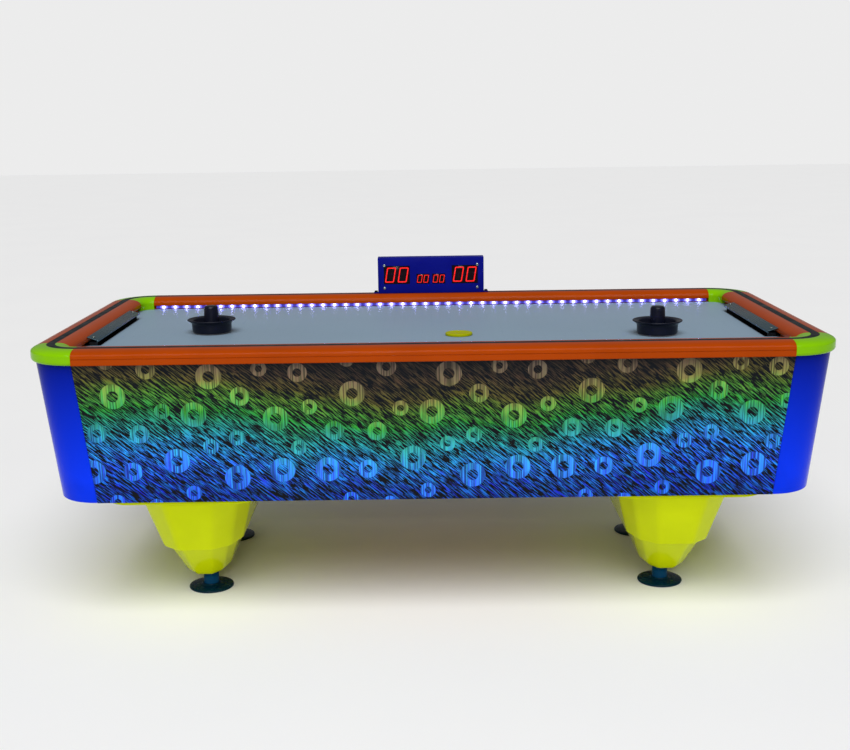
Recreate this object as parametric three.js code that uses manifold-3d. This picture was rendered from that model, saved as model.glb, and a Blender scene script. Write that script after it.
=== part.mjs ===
// Air hockey table: cabinet on two moulded pedestals, padded rim, air-fed playfield,
// goals with puck return, score board, mallets and puck.
// Millimetres, +Z up, X along the table, -Y is the front. Origin: floor, centre of the table.

import * as THREE from 'three';
import { mergeVertices } from 'three/addons/utils/BufferGeometryUtils.js';
import Module from 'manifold-3d';

const wasm = await Module();
wasm.setup();

// ---------- driving dimensions ----------
const gap = 0.3; // clearance between pieces that touch

const tableLength = 1860;
const tableWidth = 960;
const crownHeight = 663; // top of the rim above the floor
const railHeight = 31; // rim, crown to underside
const cornerRadius = 120; // plan radius of the rim's outer corners
const railWidth = 90; // rim section, outer face to inner lip
const railSeatWidth = 66; // part of the rim that stands on the cabinet wall
const recessDepth = 10; // light recess under the inner lip
const lipDrop = 18; // crown to the top of the inner lip
const lipThickness = 5.5;
const lipChamfer = 2;
const shoulderHeight = 13;
const shoulderWidth = 35;
const trimOffset = 36; // outer face of the rim to the trim band
const trimWidth = 20;
const trimDepth = 1.5;
const crownFlat = 4; // trim band to the inner slope
const footChamfer = 2.5; // lower outer edge of the rim
const grooveRise = 14.5; // groove round the outer face, above the rim's underside
const grooveDepth = 1.2;
const grooveHalfWidth = 1;

const fieldDrop = 34; // crown to playing surface
const fieldThickness = 10;
const fieldOverlap = 13; // playfield edge held under the rim

const bodyHeight = 334; // cabinet walls
const bodyInset = 11; // rim overhangs the cabinet by this
const bodyTaper = 31; // walls lean in by this at the bottom, all round
const bodyCornerRadius = 106;
const wall = 12;
const baseThickness = 12;

const goalWidth = 412;
const goalDepth = 28; // end of the playfield in front of the inner lip
const goalBoxSetback = 29.7; // cabinet's end to the goal box
const goalBoxHeight = 150;
const goalWall = 3;
const returnWidth = 210;
const returnHeight = 92;
const coverLength = 444;
const coverReach = 27;
const coverSheet = 1.6;
const coverLip = 7.5;
const coverDrop = 10; // crown to the cover's rear edge
const coverFall = 7; // slope of the cover down to its lip
const coverClear = 2.126; // goal cover's rear edge to the rim's inner slope
const earInset = 6; // goal box ear behind the cover's lip
const bezelFlange = 9;
const bezelThickness = 3;
const bezelReach = 7; // lining past the wall's inner face

const plenumHeight = 58;
const plenumMarginX = 160; // table's end to the air chamber
const plenumMarginY = 80; // table's side to the air chamber
const plenumLength = tableLength - 2 * plenumMarginX;
const plenumWidth = tableWidth - 2 * plenumMarginY;
const plenumCorner = 12;
const plenumWall = 10;
const plenumFloor = 9;
const ledThickness = 3;
const ledHeight = 7;
const ledRise = 2.5; // light strip above the playfield
const ledEndGap = 6; // light strip to the rim corner

const beamX = 420;
const beamWidth = 40;
const beamHeight = 60;
const spineY = 200;
const spineHeight = 40;

const blowerX = -180;
const blowerY = 40;
const blowerRadius = 110;
const blowerHeight = 80;
const blowerBase = 52; // blower housing above the base board
const blowerWall = 4;
const blowerMouth = 46; // air intake radius
const ductRadius = 56;
const motorRadius = 32;
const motorFlangeRadius = 58;
const motorFlangeThickness = 5.7;
const motorReach = 10; // motor body into the housing
const shaftRadius = 6;
const shaftReach = 46;
const wheelRise = 16; // impeller disc above the housing's underside
const wheelRadius = 94;
const wheelThickness = 3;
const hubRadius = 20;
const hubHeight = 26;
const bladeCount = 12;
const bladeRoot = 50;
const bladeTip = 92;
const bladeHeight = 38;
const bladeThickness = 3;
const controlBoxX = 385;
const controlBoxY = 260;
const controlBoxLength = 170;
const controlBoxWidth = 120;
const controlBoxHeight = 52;

const pedestalSetback = 350; // table's end to the pedestal's middle
const pedestalX = tableLength / 2 - pedestalSetback;
const plateMargin = 10; // cabinet's lower edge to the pedestal's top plate
const plateLength = tableWidth - 2 * (bodyInset + bodyTaper + plateMargin); // across the table
const plateRim = 8; // top plate past the pedestal's head
const pedestalTopLength = plateLength - 2 * plateRim;
const pedestalTopWidth = 284;
const pedestalWall = 7;
const pedestalLedge = 146; // ledge below the pedestal's top plate
const ledgeSetIn = 75; // head to ledge at each end
const ledgeLength = pedestalTopLength - 2 * ledgeSetIn;
const ledgeWidth = 204;
const ledgeStep = 13;
const soleSetIn = 95; // ledge to sole at each end
const soleLength = ledgeLength - 2 * soleSetIn;
const soleWidth = 116;
const toeHeight = 14; // sole, underside to its widest line
const toeTaperX = 0.78; // underside of the sole against its widest line
const toeTaperY = 0.93;
const plateThickness = 6;
const plateWidth = 355;
const plateShift = 12; // top plate set towards the table's end
const plateCorner = 55;
const footOffset = 8; // feet set in from the pedestal's middle line
const footX = pedestalX - footOffset;
const footSetIn = 54; // sole's end to the foot's middle
const footY = soleLength / 2 - footSetIn;
const footClearance = 44; // pedestal underside above the floor
const padRadius = 56;
const padThickness = 8;
const padChamfer = 2;
const padNeckRise = 2.5; // collar round the stem above the pad
const padNeck = 2; // collar thickness
const stemSeat = 5; // stem's lower end above the floor
const stemRadius = 19.5;
const stemTop = 74;
const stemBore = 93;

const malletRadius = 51;
const malletFlangeRadius = 61.5;
const malletFlangeHeight = 36;
const malletHeight = 70;
const malletKnobRadius = 19.5;
const malletKnobRound = 8; // rounding of the knob's top
const malletDishFloor = 9; // dish round the knob, above the mallet's underside
const malletDishRound = 5;
const malletWall = 10; // skirt, outer face to the dish
const malletFoot = 3; // rounding of the skirt's foot
const malletFlare = 12; // height of the flare under the flange
const malletBead = 1; // rounding of the flange's rim
const malletBrim = 5; // width of the flange's flat top
const malletMouth = [4, 8]; // dish's mouth, in from the skirt and below the flange
const feltThickness = 2.5;
const malletPlaces = [['left', -568, -36], ['right', 560, -151]];
const puckRadius = 34;
const puckThickness = 6.5;
const puckRimWidth = 10;
const puckRecess = 0.6;
const puckPlace = [67, -126];

const scoreWidth = 310;
const scoreHeight = 104;
const scoreDepth = 45;
const scoreSetback = 62; // rim's outer face to the score board's front
const scoreWall = 3;
const scoreTab = 13;
const scoreTabThickness = 2.5;
const scoreTabY0 = 4; // fixing tab, from the board's front face
const scoreTabY1 = 20;
const scoreCover = 3;
const boltRadius = 2.6;
const boltHeadRadius = 5.5;
const boltHeadHeight = 4.2;
const displayInset = 1.2; // display window behind the board's front face
const displayDepth = 7.8;
const digitsWidth = 76;
const digitsHeight = 53;
const digitsX = 99.5;
const digitsRise = 27;
const timerX = 23.2; // the two small windows, either side of the middle
const timerWidth = 38;
const timerHeight = 29;

const doorWidth = 420;
const doorHeight = 175;
const doorRise = 48; // door's lower edge above the cabinet's lower edge
const doorGap = 1.5;
const lockInset = 24; // lock centre from the door's free edge
const lockRadius = 9;
const lockHeadRadius = 12;
const lockHeadThickness = 2.7;
const lockProud = 0.8; // underside of the lock's head above the door
const lockReach = 6; // cam behind the door
const camLength = 34;
const camWidth = 12;
const camThickness = 3;
const panelEndX = tableLength / 2 - bodyInset - bodyCornerRadius; // end of the back panel
const inletSetIn = 173; // panel's end to the inlet
const switchSetIn = 113;
const inletX = panelEndX - inletSetIn;
const switchX = panelEndX - switchSetIn;
const inletWidth = 30;
const inletHeight = 24;
const inletDepth = 22;
const inletRise = 1.5; // socket body past the panel
const inletFlangeBase = 1;
const inletFlangeTop = 3.5;
const inletWall = 3.4;
const inletFlange = 9;
const socketRise = 70;
const switchWidth = 22;
const switchHeight = 28;
const sleeveDepth = 16;
const sleeveWall = 3;
const sleeveFloor = 4;
const rockerRise = 6.5;
const rockerMargin = 4.5; // rocker's foot to the switch opening's end
const rockerSpread = 0.3; // horns past the foot
const rockerClear = 1; // rocker to the sleeve at each side
const rockerDip = 2.5;
const switchThrow = THREE.MathUtils.degToRad(16); // off to on

// ---------- worked-out levels and half sizes ----------
const railBottom = crownHeight - railHeight;
const bodyTop = railBottom - gap;
const bodyBottom = bodyTop - bodyHeight;
const fieldTop = crownHeight - fieldDrop;
const halfLength = tableLength / 2;
const halfWidth = tableWidth / 2;
const lean = bodyTaper / bodyHeight;
const bodyHalfX = halfLength - bodyInset;
const bodyHalfY = halfWidth - bodyInset;
const innerX = halfLength - railWidth;
const fieldUnderside = fieldTop - fieldThickness;
const plenumTop = fieldUnderside - gap;
const plenumBottom = plenumTop - plenumHeight;
const baseTop = bodyBottom + baseThickness;
const plateTop = bodyBottom - gap;
const plateBottom = plateTop - plateThickness;
const ledgeHeight = plateBottom - pedestalLedge;
const fieldEndX = innerX - goalDepth;
const goalBoxEndX = bodyHalfX - goalBoxSetback;
const goalBoxBottom = fieldTop - goalBoxHeight;
const lipTop = crownHeight - lipDrop;
const lipBottom = lipTop - lipThickness;
const slopeWidth = railWidth - trimOffset - trimWidth - crownFlat; // rim's inner slope
const coverTip = crownHeight - coverDrop - coverFall; // top of the goal cover's lip
const coverLevel = 1 - coverDrop / lipDrop; // cover's rear edge up the inner slope, 0 to 1
const coverTuck = slopeWidth * (1 - Math.sqrt(1 - coverLevel ** 2)) - coverClear;
const leanSlack = wall * lean; // drift of a square hole through a leaning wall
const cutReach = 90; // how far a cut through a wall runs past it

const paint = {
  orange: { color: 0xc04c08, roughness: 0.25, metalness: 0 },
  lime: { color: 0x7ecb12, roughness: 0.25, metalness: 0 },
  black: { color: 0x14181a, roughness: 0.5, metalness: 0 },
  print: { color: 0x1f5a58, roughness: 0.35, metalness: 0 },
  blue: { color: 0x0a2bd0, roughness: 0.2, metalness: 0 },
  field: { color: 0x98a7ae, roughness: 0.3, metalness: 0 },
  yellow: { color: 0xc6d400, roughness: 0.25, metalness: 0 },
  teal: { color: 0x06303c, roughness: 0.35, metalness: 0.2 },
  steel: { color: 0x8a949b, roughness: 0.35, metalness: 0.9 },
  navy: { color: 0x0b1280, roughness: 0.4, metalness: 0.1 },
  wood: { color: 0xa98758, roughness: 0.7, metalness: 0 },
  puck: { color: 0xd2d214, roughness: 0.35, metalness: 0 },
  light: { color: 0xeef0ff, roughness: 0.4, metalness: 0 },
  felt: { color: 0x30343a, roughness: 0.95, metalness: 0 },
};

const table = new THREE.Group();

function add(name, geometry, finish, parent = table) {
  const mesh = new THREE.Mesh(geometry, new THREE.MeshStandardMaterial(paint[finish]));
  mesh.name = name;
  parent.add(mesh);
  return mesh;
}

// ---------- solid helpers ----------
function solid(geometry) {
  const bare = geometry.clone();
  bare.deleteAttribute('normal');
  bare.deleteAttribute('uv');
  const merged = mergeVertices(bare, 1e-4);
  return new wasm.Manifold(new wasm.Mesh({
    numProp: 3,
    vertProperties: new Float32Array(merged.attributes.position.array),
    triVerts: new Uint32Array(merged.index.array),
  }));
}

function fromSolid(shape) {
  const mesh = shape.getMesh();
  const geometry = new THREE.BufferGeometry();
  geometry.setAttribute('position', new THREE.BufferAttribute(mesh.vertProperties, 3));
  geometry.setIndex(new THREE.BufferAttribute(mesh.triVerts, 1));
  geometry.computeVertexNormals();
  return geometry;
}

function cut(geometry, ...tools) {
  return fromSolid(tools.reduce((body, tool) => body.subtract(solid(tool)), solid(geometry)));
}

function join(geometry, ...others) {
  return fromSolid(others.reduce((body, other) => body.add(solid(other)), solid(geometry)));
}

function keep(geometry, region) {
  return fromSolid(solid(geometry).intersect(solid(region)));
}

// box between two corners
function block(x0, x1, y0, y1, z0, z1) {
  return new THREE.BoxGeometry(Math.abs(x1 - x0), Math.abs(y1 - y0), Math.abs(z1 - z0))
    .translate((x0 + x1) / 2, (y0 + y1) / 2, (z0 + z1) / 2);
}

// upright cylinder or cone between two heights
function post(radius, z0, z1, x = 0, y = 0, sides = 20, topRadius = radius) {
  return new THREE.CylinderGeometry(topRadius, radius, z1 - z0, sides)
    .rotateX(Math.PI / 2)
    .translate(x, y, (z0 + z1) / 2);
}

// body of revolution about Z from [radius, height] points, counter-clockwise
function turned(points, segments = 24) {
  const profile = [...points, points[0]].map(([r, z]) => new THREE.Vector2(r, z));
  return new THREE.LatheGeometry(profile, segments).rotateX(Math.PI / 2);
}

function roundedOutline(halfX, halfY, radius) {
  const outline = new THREE.Shape();
  outline.absarc(halfX - radius, halfY - radius, radius, 0, Math.PI / 2);
  outline.absarc(radius - halfX, halfY - radius, radius, Math.PI / 2, Math.PI);
  outline.absarc(radius - halfX, radius - halfY, radius, Math.PI, Math.PI * 1.5);
  outline.absarc(halfX - radius, radius - halfY, radius, Math.PI * 1.5, Math.PI * 2);
  outline.closePath();
  return outline;
}

function slab(outline, z0, z1, curveSegments = 4) {
  return new THREE.ExtrudeGeometry(outline, { depth: z1 - z0, bevelEnabled: false, curveSegments })
    .translate(0, 0, z0);
}

// points along a quarter ellipse, from angle a0 to a1 in degrees
function arc(cx, cy, rx, ry, a0, a1, steps) {
  const points = [];
  for (let i = 0; i <= steps; i += 1) {
    const angle = THREE.MathUtils.degToRad(a0 + ((a1 - a0) * i) / steps);
    points.push([cx + rx * Math.cos(angle), cy + ry * Math.sin(angle)]);
  }
  return points;
}

// ---------- rim ----------
// section as [distance in from the outer face, height], from the outer foot over the crown
function rimCrown() {
  const crownEnd = trimOffset + trimWidth + crownFlat;
  const groove = railBottom + grooveRise;
  return [
    [footChamfer, railBottom],
    [0, railBottom + footChamfer],
    [0, groove - grooveHalfWidth],
    [grooveDepth, groove],
    [0, groove + grooveHalfWidth],
    ...arc(shoulderWidth, crownHeight - shoulderHeight, shoulderWidth, shoulderHeight, 180, 90, 5),
    [trimOffset, crownHeight],
    [trimOffset, crownHeight - trimDepth],
    [trimOffset + trimWidth, crownHeight - trimDepth],
    [trimOffset + trimWidth, crownHeight],
    ...arc(crownEnd, lipTop, railWidth - crownEnd, crownHeight - lipTop, 90, 0, 5),
  ];
}

function rimSeat() {
  return [
    [railSeatWidth, fieldTop + gap],
    [railSeatWidth, railBottom],
  ];
}

function railSection() {
  const recessWall = railWidth - recessDepth;
  return [
    ...rimCrown(),
    [railWidth, lipBottom + lipChamfer],
    [railWidth - lipChamfer, lipBottom],
    [recessWall, lipBottom],
    [recessWall, fieldTop + gap],
    ...rimSeat(),
  ];
}

function rail(length) {
  const outline = new THREE.Shape(railSection().map(([u, z]) => new THREE.Vector2(u, z)));
  const geometry = new THREE.ExtrudeGeometry(outline, { depth: length, bevelEnabled: false });
  const toTable = new THREE.Matrix4().set(
    0, 0, 1, -length / 2,
    1, 0, 0, 0,
    0, 1, 0, 0,
    0, 0, 0, 1,
  );
  return geometry.applyMatrix4(toTable);
}

function rimCorner() {
  const section = [...rimCrown(), [railWidth, fieldTop + gap], ...rimSeat()];
  const ring = turned(section.map(([u, z]) => [cornerRadius - u, z]), 32);
  const reach = 2 * cornerRadius;
  return keep(ring, block(0, reach, 0, reach, 0, 2 * crownHeight));
}

function goalRelief() {
  const half = goalWidth / 2 + goalWall + gap;
  return block(fieldEndX, goalBoxEndX, -half, half, fieldUnderside, lipBottom);
}

function buildRim() {
  const straightX = halfLength - cornerRadius - gap;
  const straightY = halfWidth - cornerRadius - gap;
  add('rail_front', rail(2 * straightX).translate(0, -halfWidth, 0), 'orange');
  add('rail_back', rail(2 * straightX).translate(0, -halfWidth, 0).rotateZ(Math.PI), 'orange');
  for (const [side, turn] of [['right', 0], ['left', Math.PI]]) {
    const blank = rail(2 * straightY).rotateZ(Math.PI / 2).translate(halfLength, 0, 0);
    add(`rail_${side}`, cut(blank, goalRelief()), 'orange').rotation.z = turn;
  }
  for (const [name, sx, sy, turn] of cornerList()) {
    const corner = add(`rim_corner_${name}`, rimCorner(), 'lime');
    corner.position.set(sx * (halfLength - cornerRadius), sy * (halfWidth - cornerRadius), 0);
    corner.rotation.z = turn;
  }
  const outside = trimOffset + gap;
  const inside = trimOffset + trimWidth - gap;
  const band = roundedOutline(halfLength - outside, halfWidth - outside, cornerRadius - outside);
  band.holes.push(roundedOutline(halfLength - inside, halfWidth - inside, cornerRadius - inside));
  add('rim_trim', slab(band, crownHeight - trimDepth + gap, crownHeight + gap), 'black');
}

function cornerList() {
  return [
    ['back_right', 1, 1, 0],
    ['back_left', -1, 1, Math.PI / 2],
    ['front_left', -1, -1, Math.PI],
    ['front_right', 1, -1, -Math.PI / 2],
  ];
}

// ---------- cabinet ----------
// moves each point inwards in proportion to its depth below the cabinet's top
function leanIn(geometry, alongX, alongY) {
  const shear = new THREE.Matrix4().set(
    1, 0, alongX * lean, -alongX * lean * bodyTop,
    0, 1, alongY * lean, -alongY * lean * bodyTop,
    0, 0, 1, 0,
    0, 0, 0, 1,
  );
  return geometry.applyMatrix4(shear);
}

// wall with its outer face towards +Y, leaning in, tapered to meet the corner posts
function wallPanel(halfTop) {
  const halfFoot = halfTop - bodyTaper;
  const outline = new THREE.Shape([
    new THREE.Vector2(-halfFoot + gap, bodyBottom),
    new THREE.Vector2(halfFoot - gap, bodyBottom),
    new THREE.Vector2(halfTop - gap, bodyTop),
    new THREE.Vector2(-halfTop + gap, bodyTop),
  ]);
  const plate = new THREE.ExtrudeGeometry(outline, { depth: wall, bevelEnabled: false });
  return leanIn(plate.rotateX(Math.PI / 2).translate(0, wall, 0), 0, 1);
}

function cornerPost() {
  const outline = new THREE.Shape();
  outline.absarc(0, 0, bodyCornerRadius, 0, Math.PI / 2);
  outline.absarc(0, 0, bodyCornerRadius - wall, Math.PI / 2, 0, true);
  outline.closePath();
  return leanIn(slab(outline, bodyBottom, bodyTop), 1, 1);
}

// outer face of a wall at a height above the cabinet's lower edge, for a wall facing +Y
function wallFace(halfSize, rise) {
  return halfSize - bodyTaper + rise * lean;
}

function returnOpening(margin) {
  const z0 = goalBoxBottom + goalWall;
  const half = returnWidth / 2 + margin;
  const z1 = z0 + returnHeight;
  return block(-half, half, bodyHalfX - cutReach, bodyHalfX + cutReach, z0 - margin, z1 + margin);
}

function doorWindow(margin) {
  const z0 = bodyBottom + doorRise;
  const half = doorWidth / 2 + margin;
  const z1 = z0 + doorHeight;
  return block(-half, half, bodyHalfY - cutReach, bodyHalfY + cutReach, z0 - margin, z1 + margin);
}

function socketHole(x, width, height) {
  const z = bodyBottom + socketRise;
  const halfX = width / 2 + gap;
  const halfZ = height / 2 + gap;
  return block(x - halfX, x + halfX, bodyHalfY - cutReach, bodyHalfY, z - halfZ, z + halfZ);
}

function buildCabinet() {
  const longWall = () => wallPanel(bodyHalfX - bodyCornerRadius).translate(0, bodyHalfY - wall, 0);
  const shortWall = () => wallPanel(bodyHalfY - bodyCornerRadius).translate(0, bodyHalfX - wall, 0);
  add('front_panel', longWall(), 'print').rotation.z = Math.PI;
  const inletHole = socketHole(inletX, inletWidth, inletHeight);
  const switchHole = socketHole(switchX, switchWidth, switchHeight);
  add('back_panel', cut(longWall(), doorWindow(0), inletHole, switchHole), 'print');
  for (const [side, turn] of [['left', Math.PI / 2], ['right', -Math.PI / 2]]) {
    add(`end_panel_${side}`, cut(shortWall(), returnOpening(0)), 'print').rotation.z = turn;
  }
  for (const [name, sx, sy, turn] of cornerList()) {
    const corner = add(`corner_post_${name}`, cornerPost(), 'blue');
    corner.position.set(sx * (bodyHalfX - bodyCornerRadius), sy * (bodyHalfY - bodyCornerRadius), 0);
    corner.rotation.z = turn;
  }
  const margin = bodyTaper + wall + gap;
  const base = roundedOutline(bodyHalfX - margin, bodyHalfY - margin, bodyCornerRadius - wall - gap);
  add('base_board', slab(base, bodyBottom, baseTop), 'wood');
  const beamTop = plenumBottom - gap;
  const beamBottom = beamTop - beamHeight;
  const beamHalf = wallFace(bodyHalfY, beamBottom - bodyBottom) - wall - gap;
  const beam = (x) => block(x, x + beamWidth, -beamHalf, beamHalf, beamBottom, beamTop);
  const spine = block(-beamX, beamX, spineY, spineY + beamWidth, beamTop - spineHeight, beamTop);
  add('cross_frame', join(beam(-beamX - beamWidth / 2), beam(beamX - beamWidth / 2), spine), 'wood');
}

// ---------- playfield, air supply ----------
function buildPlayfield() {
  const edge = railWidth - recessDepth - fieldOverlap;
  const outline = roundedOutline(halfLength - edge, halfWidth - edge, cornerRadius - edge);
  const half = goalWidth / 2 + goalWall + gap;
  const notch = (sx) => block(sx * fieldEndX, sx * halfLength, -half, half, 0, crownHeight);
  const board = slab(outline, fieldUnderside, fieldTop);
  add('playfield', cut(board, notch(1), notch(-1)), 'field');

  const trayOutline = roundedOutline(plenumLength / 2, plenumWidth / 2, plenumCorner);
  const roomX = plenumLength / 2 - plenumWall;
  const roomY = plenumWidth / 2 - plenumWall;
  const inside = roundedOutline(roomX, roomY, plenumCorner / 2);
  const cavity = slab(inside, plenumBottom + plenumFloor, plenumTop + 1, 3);
  const inletPort = post(ductRadius, plenumBottom - 1, plenumTop, blowerX, blowerY);
  add('plenum_tray', cut(slab(trayOutline, plenumBottom, plenumTop, 3), cavity, inletPort), 'wood');

  for (const [side, sy] of [['front', -1], ['back', 1]]) {
    const y0 = sy * (halfWidth - railWidth + recessDepth - gap);
    const half = halfLength - cornerRadius - ledEndGap;
    const z0 = fieldTop + ledRise;
    const strip = block(-half, half, y0, y0 - sy * ledThickness, z0, z0 + ledHeight);
    add(`led_strip_${side}`, strip, 'light');
  }
}

function blowerHousing(z0) {
  const z1 = z0 + blowerHeight;
  const neck = ductRadius + blowerWall;
  const ductTop = plenumBottom - gap;
  const inner = blowerRadius - blowerWall;
  return turned([
    [blowerMouth, z0], [blowerRadius, z0], [blowerRadius, z1], [neck, z1], [neck, ductTop],
    [ductRadius, ductTop], [ductRadius, z1 - blowerWall], [inner, z1 - blowerWall],
    [inner, z0 + blowerWall], [blowerMouth, z0 + blowerWall],
  ]);
}

function blowerMotor(z0) {
  const flangeTop = baseTop + gap + motorFlangeThickness;
  return join(
    post(motorFlangeRadius, baseTop + gap, flangeTop),
    post(motorRadius, flangeTop - 1, z0 + motorReach),
    post(shaftRadius, z0 + motorReach - 1, z0 + shaftReach),
  );
}

function impeller(z0) {
  const bore = shaftRadius + gap;
  const discTop = z0 + wheelThickness;
  const hub = turned([
    [bore, z0], [wheelRadius, z0], [wheelRadius, discTop], [hubRadius, discTop],
    [hubRadius * 0.7, z0 + hubHeight], [bore, z0 + hubHeight],
  ]);
  const half = bladeThickness / 2;
  const blades = [];
  for (let i = 0; i < bladeCount; i += 1) {
    const blade = block(bladeRoot, bladeTip, -half, half, discTop - 1, z0 + bladeHeight);
    blades.push(blade.rotateZ((i * Math.PI * 2) / bladeCount));
  }
  return join(hub, ...blades);
}

function buildBlower() {
  const z0 = baseTop + blowerBase;
  const place = (geometry) => geometry.translate(blowerX, blowerY, 0);
  add('blower_housing', place(blowerHousing(z0)), 'black');
  add('blower_motor', place(blowerMotor(z0)), 'steel');
  add('blower_impeller', place(impeller(z0 + wheelRise)), 'steel');
}

// ---------- goals ----------
// drawn for the right-hand end, turned half round for the left
function goalCover() {
  const rear = innerX + coverTuck;
  const tipX = rear - coverReach;
  const rearZ = crownHeight - coverDrop;
  const outline = new THREE.Shape([
    new THREE.Vector2(rear, rearZ),
    new THREE.Vector2(tipX, coverTip),
    new THREE.Vector2(tipX, coverTip - coverLip),
    new THREE.Vector2(tipX + coverSheet, coverTip - coverLip),
    new THREE.Vector2(tipX + coverSheet, coverTip - coverSheet),
    new THREE.Vector2(rear, rearZ - coverSheet),
  ]);
  const sheet = new THREE.ExtrudeGeometry(outline, { depth: coverLength, bevelEnabled: false });
  return sheet.rotateX(Math.PI / 2).translate(0, coverLength / 2, 0);
}

function goalBox() {
  const half = goalWidth / 2 + goalWall;
  const x0 = fieldEndX + gap;
  const x1 = goalBoxEndX;
  const z0 = goalBoxBottom;
  const shell = block(x0, x1, -half, half, z0, fieldTop);
  const inside = block(
    x0 + goalWall, x1 - goalWall, -half + goalWall, half - goalWall, z0 + goalWall, fieldTop + 1,
  );
  const outletHalf = returnWidth / 2;
  const outletTop = z0 + goalWall + returnHeight;
  const outlet = block(x1 - 10, x1 + 10, -outletHalf, outletHalf, z0 + goalWall, outletTop);
  const ears = [];
  const earX = innerX - coverReach + earInset;
  const earTop = coverTip - coverLip - gap;
  for (const sy of [-1, 1]) {
    const inner = sy * (goalWidth / 2);
    ears.push(block(earX, innerX - coverTuck, inner, inner + sy * goalWall, fieldTop - 1, earTop));
  }
  return join(cut(shell, inside, outlet), ...ears);
}

function returnBezel() {
  const z = goalBoxBottom + goalWall + returnHeight / 2;
  const halfY = returnWidth / 2;
  const halfZ = returnHeight / 2;
  const lining = block(
    -halfY + gap, halfY - gap, -wall - bezelReach, 1, -halfZ + gap, halfZ - gap,
  );
  const flangeY = halfY + bezelFlange;
  const flangeZ = halfZ + bezelFlange;
  const flange = block(-flangeY, flangeY, gap, bezelThickness, -flangeZ, flangeZ);
  const holeY = halfY - bezelThickness;
  const holeZ = halfZ - bezelThickness;
  const hole = block(-holeY, holeY, -cutReach, cutReach, -holeZ, holeZ);
  const face = wallFace(bodyHalfX, z - bodyBottom);
  const shear = new THREE.Matrix4().set(1, 0, 0, 0, 0, 1, lean, face, 0, 0, 1, z, 0, 0, 0, 1);
  return cut(join(lining, flange), hole).applyMatrix4(shear).rotateZ(-Math.PI / 2);
}

function buildGoals() {
  for (const [side, turn] of [['right', 0], ['left', Math.PI]]) {
    add(`goal_cover_${side}`, goalCover(), 'steel').rotation.z = turn;
    add(`goal_box_${side}`, goalBox(), 'black').rotation.z = turn;
    add(`return_bezel_${side}`, returnBezel(), 'black').rotation.z = turn;
  }
}

// ---------- pedestals and levelling feet ----------
// plan of the pedestal: flat nose front and back, slanted cheeks, straight flanks
function pedestalOutline(halfX, halfY) {
  const nose = halfX * 0.4;
  const cheek = halfX * 0.8;
  const half = [
    [nose, -halfY], [cheek, -halfY + halfX * 0.32], [halfX, -halfY + halfX * 0.85],
    [halfX, halfY - halfX * 0.85], [cheek, halfY - halfX * 0.32], [nose, halfY],
  ];
  const mirrored = half.map(([x, y]) => [-x, y]).reverse();
  return new THREE.Shape([...half, ...mirrored].map(([x, y]) => new THREE.Vector2(x, y)));
}

// prism whose lower end is the upper outline scaled
function taperedPrism(outline, z0, z1, scaleX, scaleY) {
  const geometry = slab(outline, z0, z1);
  const place = geometry.attributes.position;
  for (let i = 0; i < place.count; i += 1) {
    if (place.getZ(i) < (z0 + z1) / 2) {
      place.setXY(i, place.getX(i) * scaleX, place.getY(i) * scaleY);
    }
  }
  return geometry;
}

// upper part of the pedestal, or the cavity inside it when it is thinned by a wall
function pedestalHead(thin) {
  const topX = pedestalTopWidth / 2 - thin;
  const topY = pedestalTopLength / 2 - thin;
  const scaleX = (ledgeWidth / 2 - thin) / topX;
  const scaleY = (ledgeLength / 2 - thin) / topY;
  const rise = thin > 0 ? gap : 1;
  return taperedPrism(pedestalOutline(topX, topY), ledgeHeight + thin, plateBottom + rise, scaleX, scaleY);
}

function pedestalFoot() {
  const stepX = ledgeWidth / 2 - ledgeStep;
  const stepY = ledgeLength / 2 - ledgeStep;
  const toe = footClearance + toeHeight;
  const soleX = soleWidth / 2;
  const soleY = soleLength / 2;
  const step = pedestalOutline(stepX, stepY);
  const shank = taperedPrism(step, toe, ledgeHeight + 1, soleX / stepX, soleY / stepY);
  const edge = pedestalOutline(soleX, soleY);
  const sole = taperedPrism(edge, footClearance, toe + 0.5, toeTaperX, toeTaperY);
  return join(shank, sole);
}

function pedestal(sx) {
  const plateOutline = roundedOutline(plateWidth / 2, plateLength / 2, plateCorner);
  const plate = slab(plateOutline, plateBottom, plateTop).translate(sx * plateShift, 0, 0);
  const opening = slab(
    pedestalOutline(pedestalTopWidth / 2 - pedestalWall, pedestalTopLength / 2 - pedestalWall),
    plateBottom,
    plateTop + 1,
  );
  const boreX = sx * (footX - pedestalX);
  const bores = [-1, 1].map((sy) => post(stemRadius + gap, 0, stemBore, boreX, sy * footY));
  const form = join(pedestalHead(0), pedestalFoot(), plate);
  return cut(form, pedestalHead(pedestalWall), opening, ...bores);
}

function footPad() {
  const neckTop = padThickness + padNeckRise;
  const bore = stemRadius + padNeck;
  return turned([
    [0, 0], [padRadius - padChamfer, 0], [padRadius, padChamfer], [padRadius, stemSeat],
    [padRadius - 2 * padChamfer, padThickness], [bore + padNeck, neckTop], [bore, neckTop],
    [bore, stemSeat], [0, stemSeat],
  ]);
}

function buildPedestals() {
  for (const [side, sx] of [['left', -1], ['right', 1]]) {
    add(`pedestal_${side}`, pedestal(sx), 'yellow').position.x = sx * pedestalX;
    for (const [end, sy] of [['front', -1], ['back', 1]]) {
      const foot = new THREE.Group();
      foot.position.set(sx * footX, sy * footY, 0);
      table.add(foot);
      add(`foot_pad_${end}_${side}`, footPad(), 'teal', foot);
      add(`foot_stem_${end}_${side}`, post(stemRadius, stemSeat + gap, stemTop), 'teal', foot);
    }
  }
}

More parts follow.
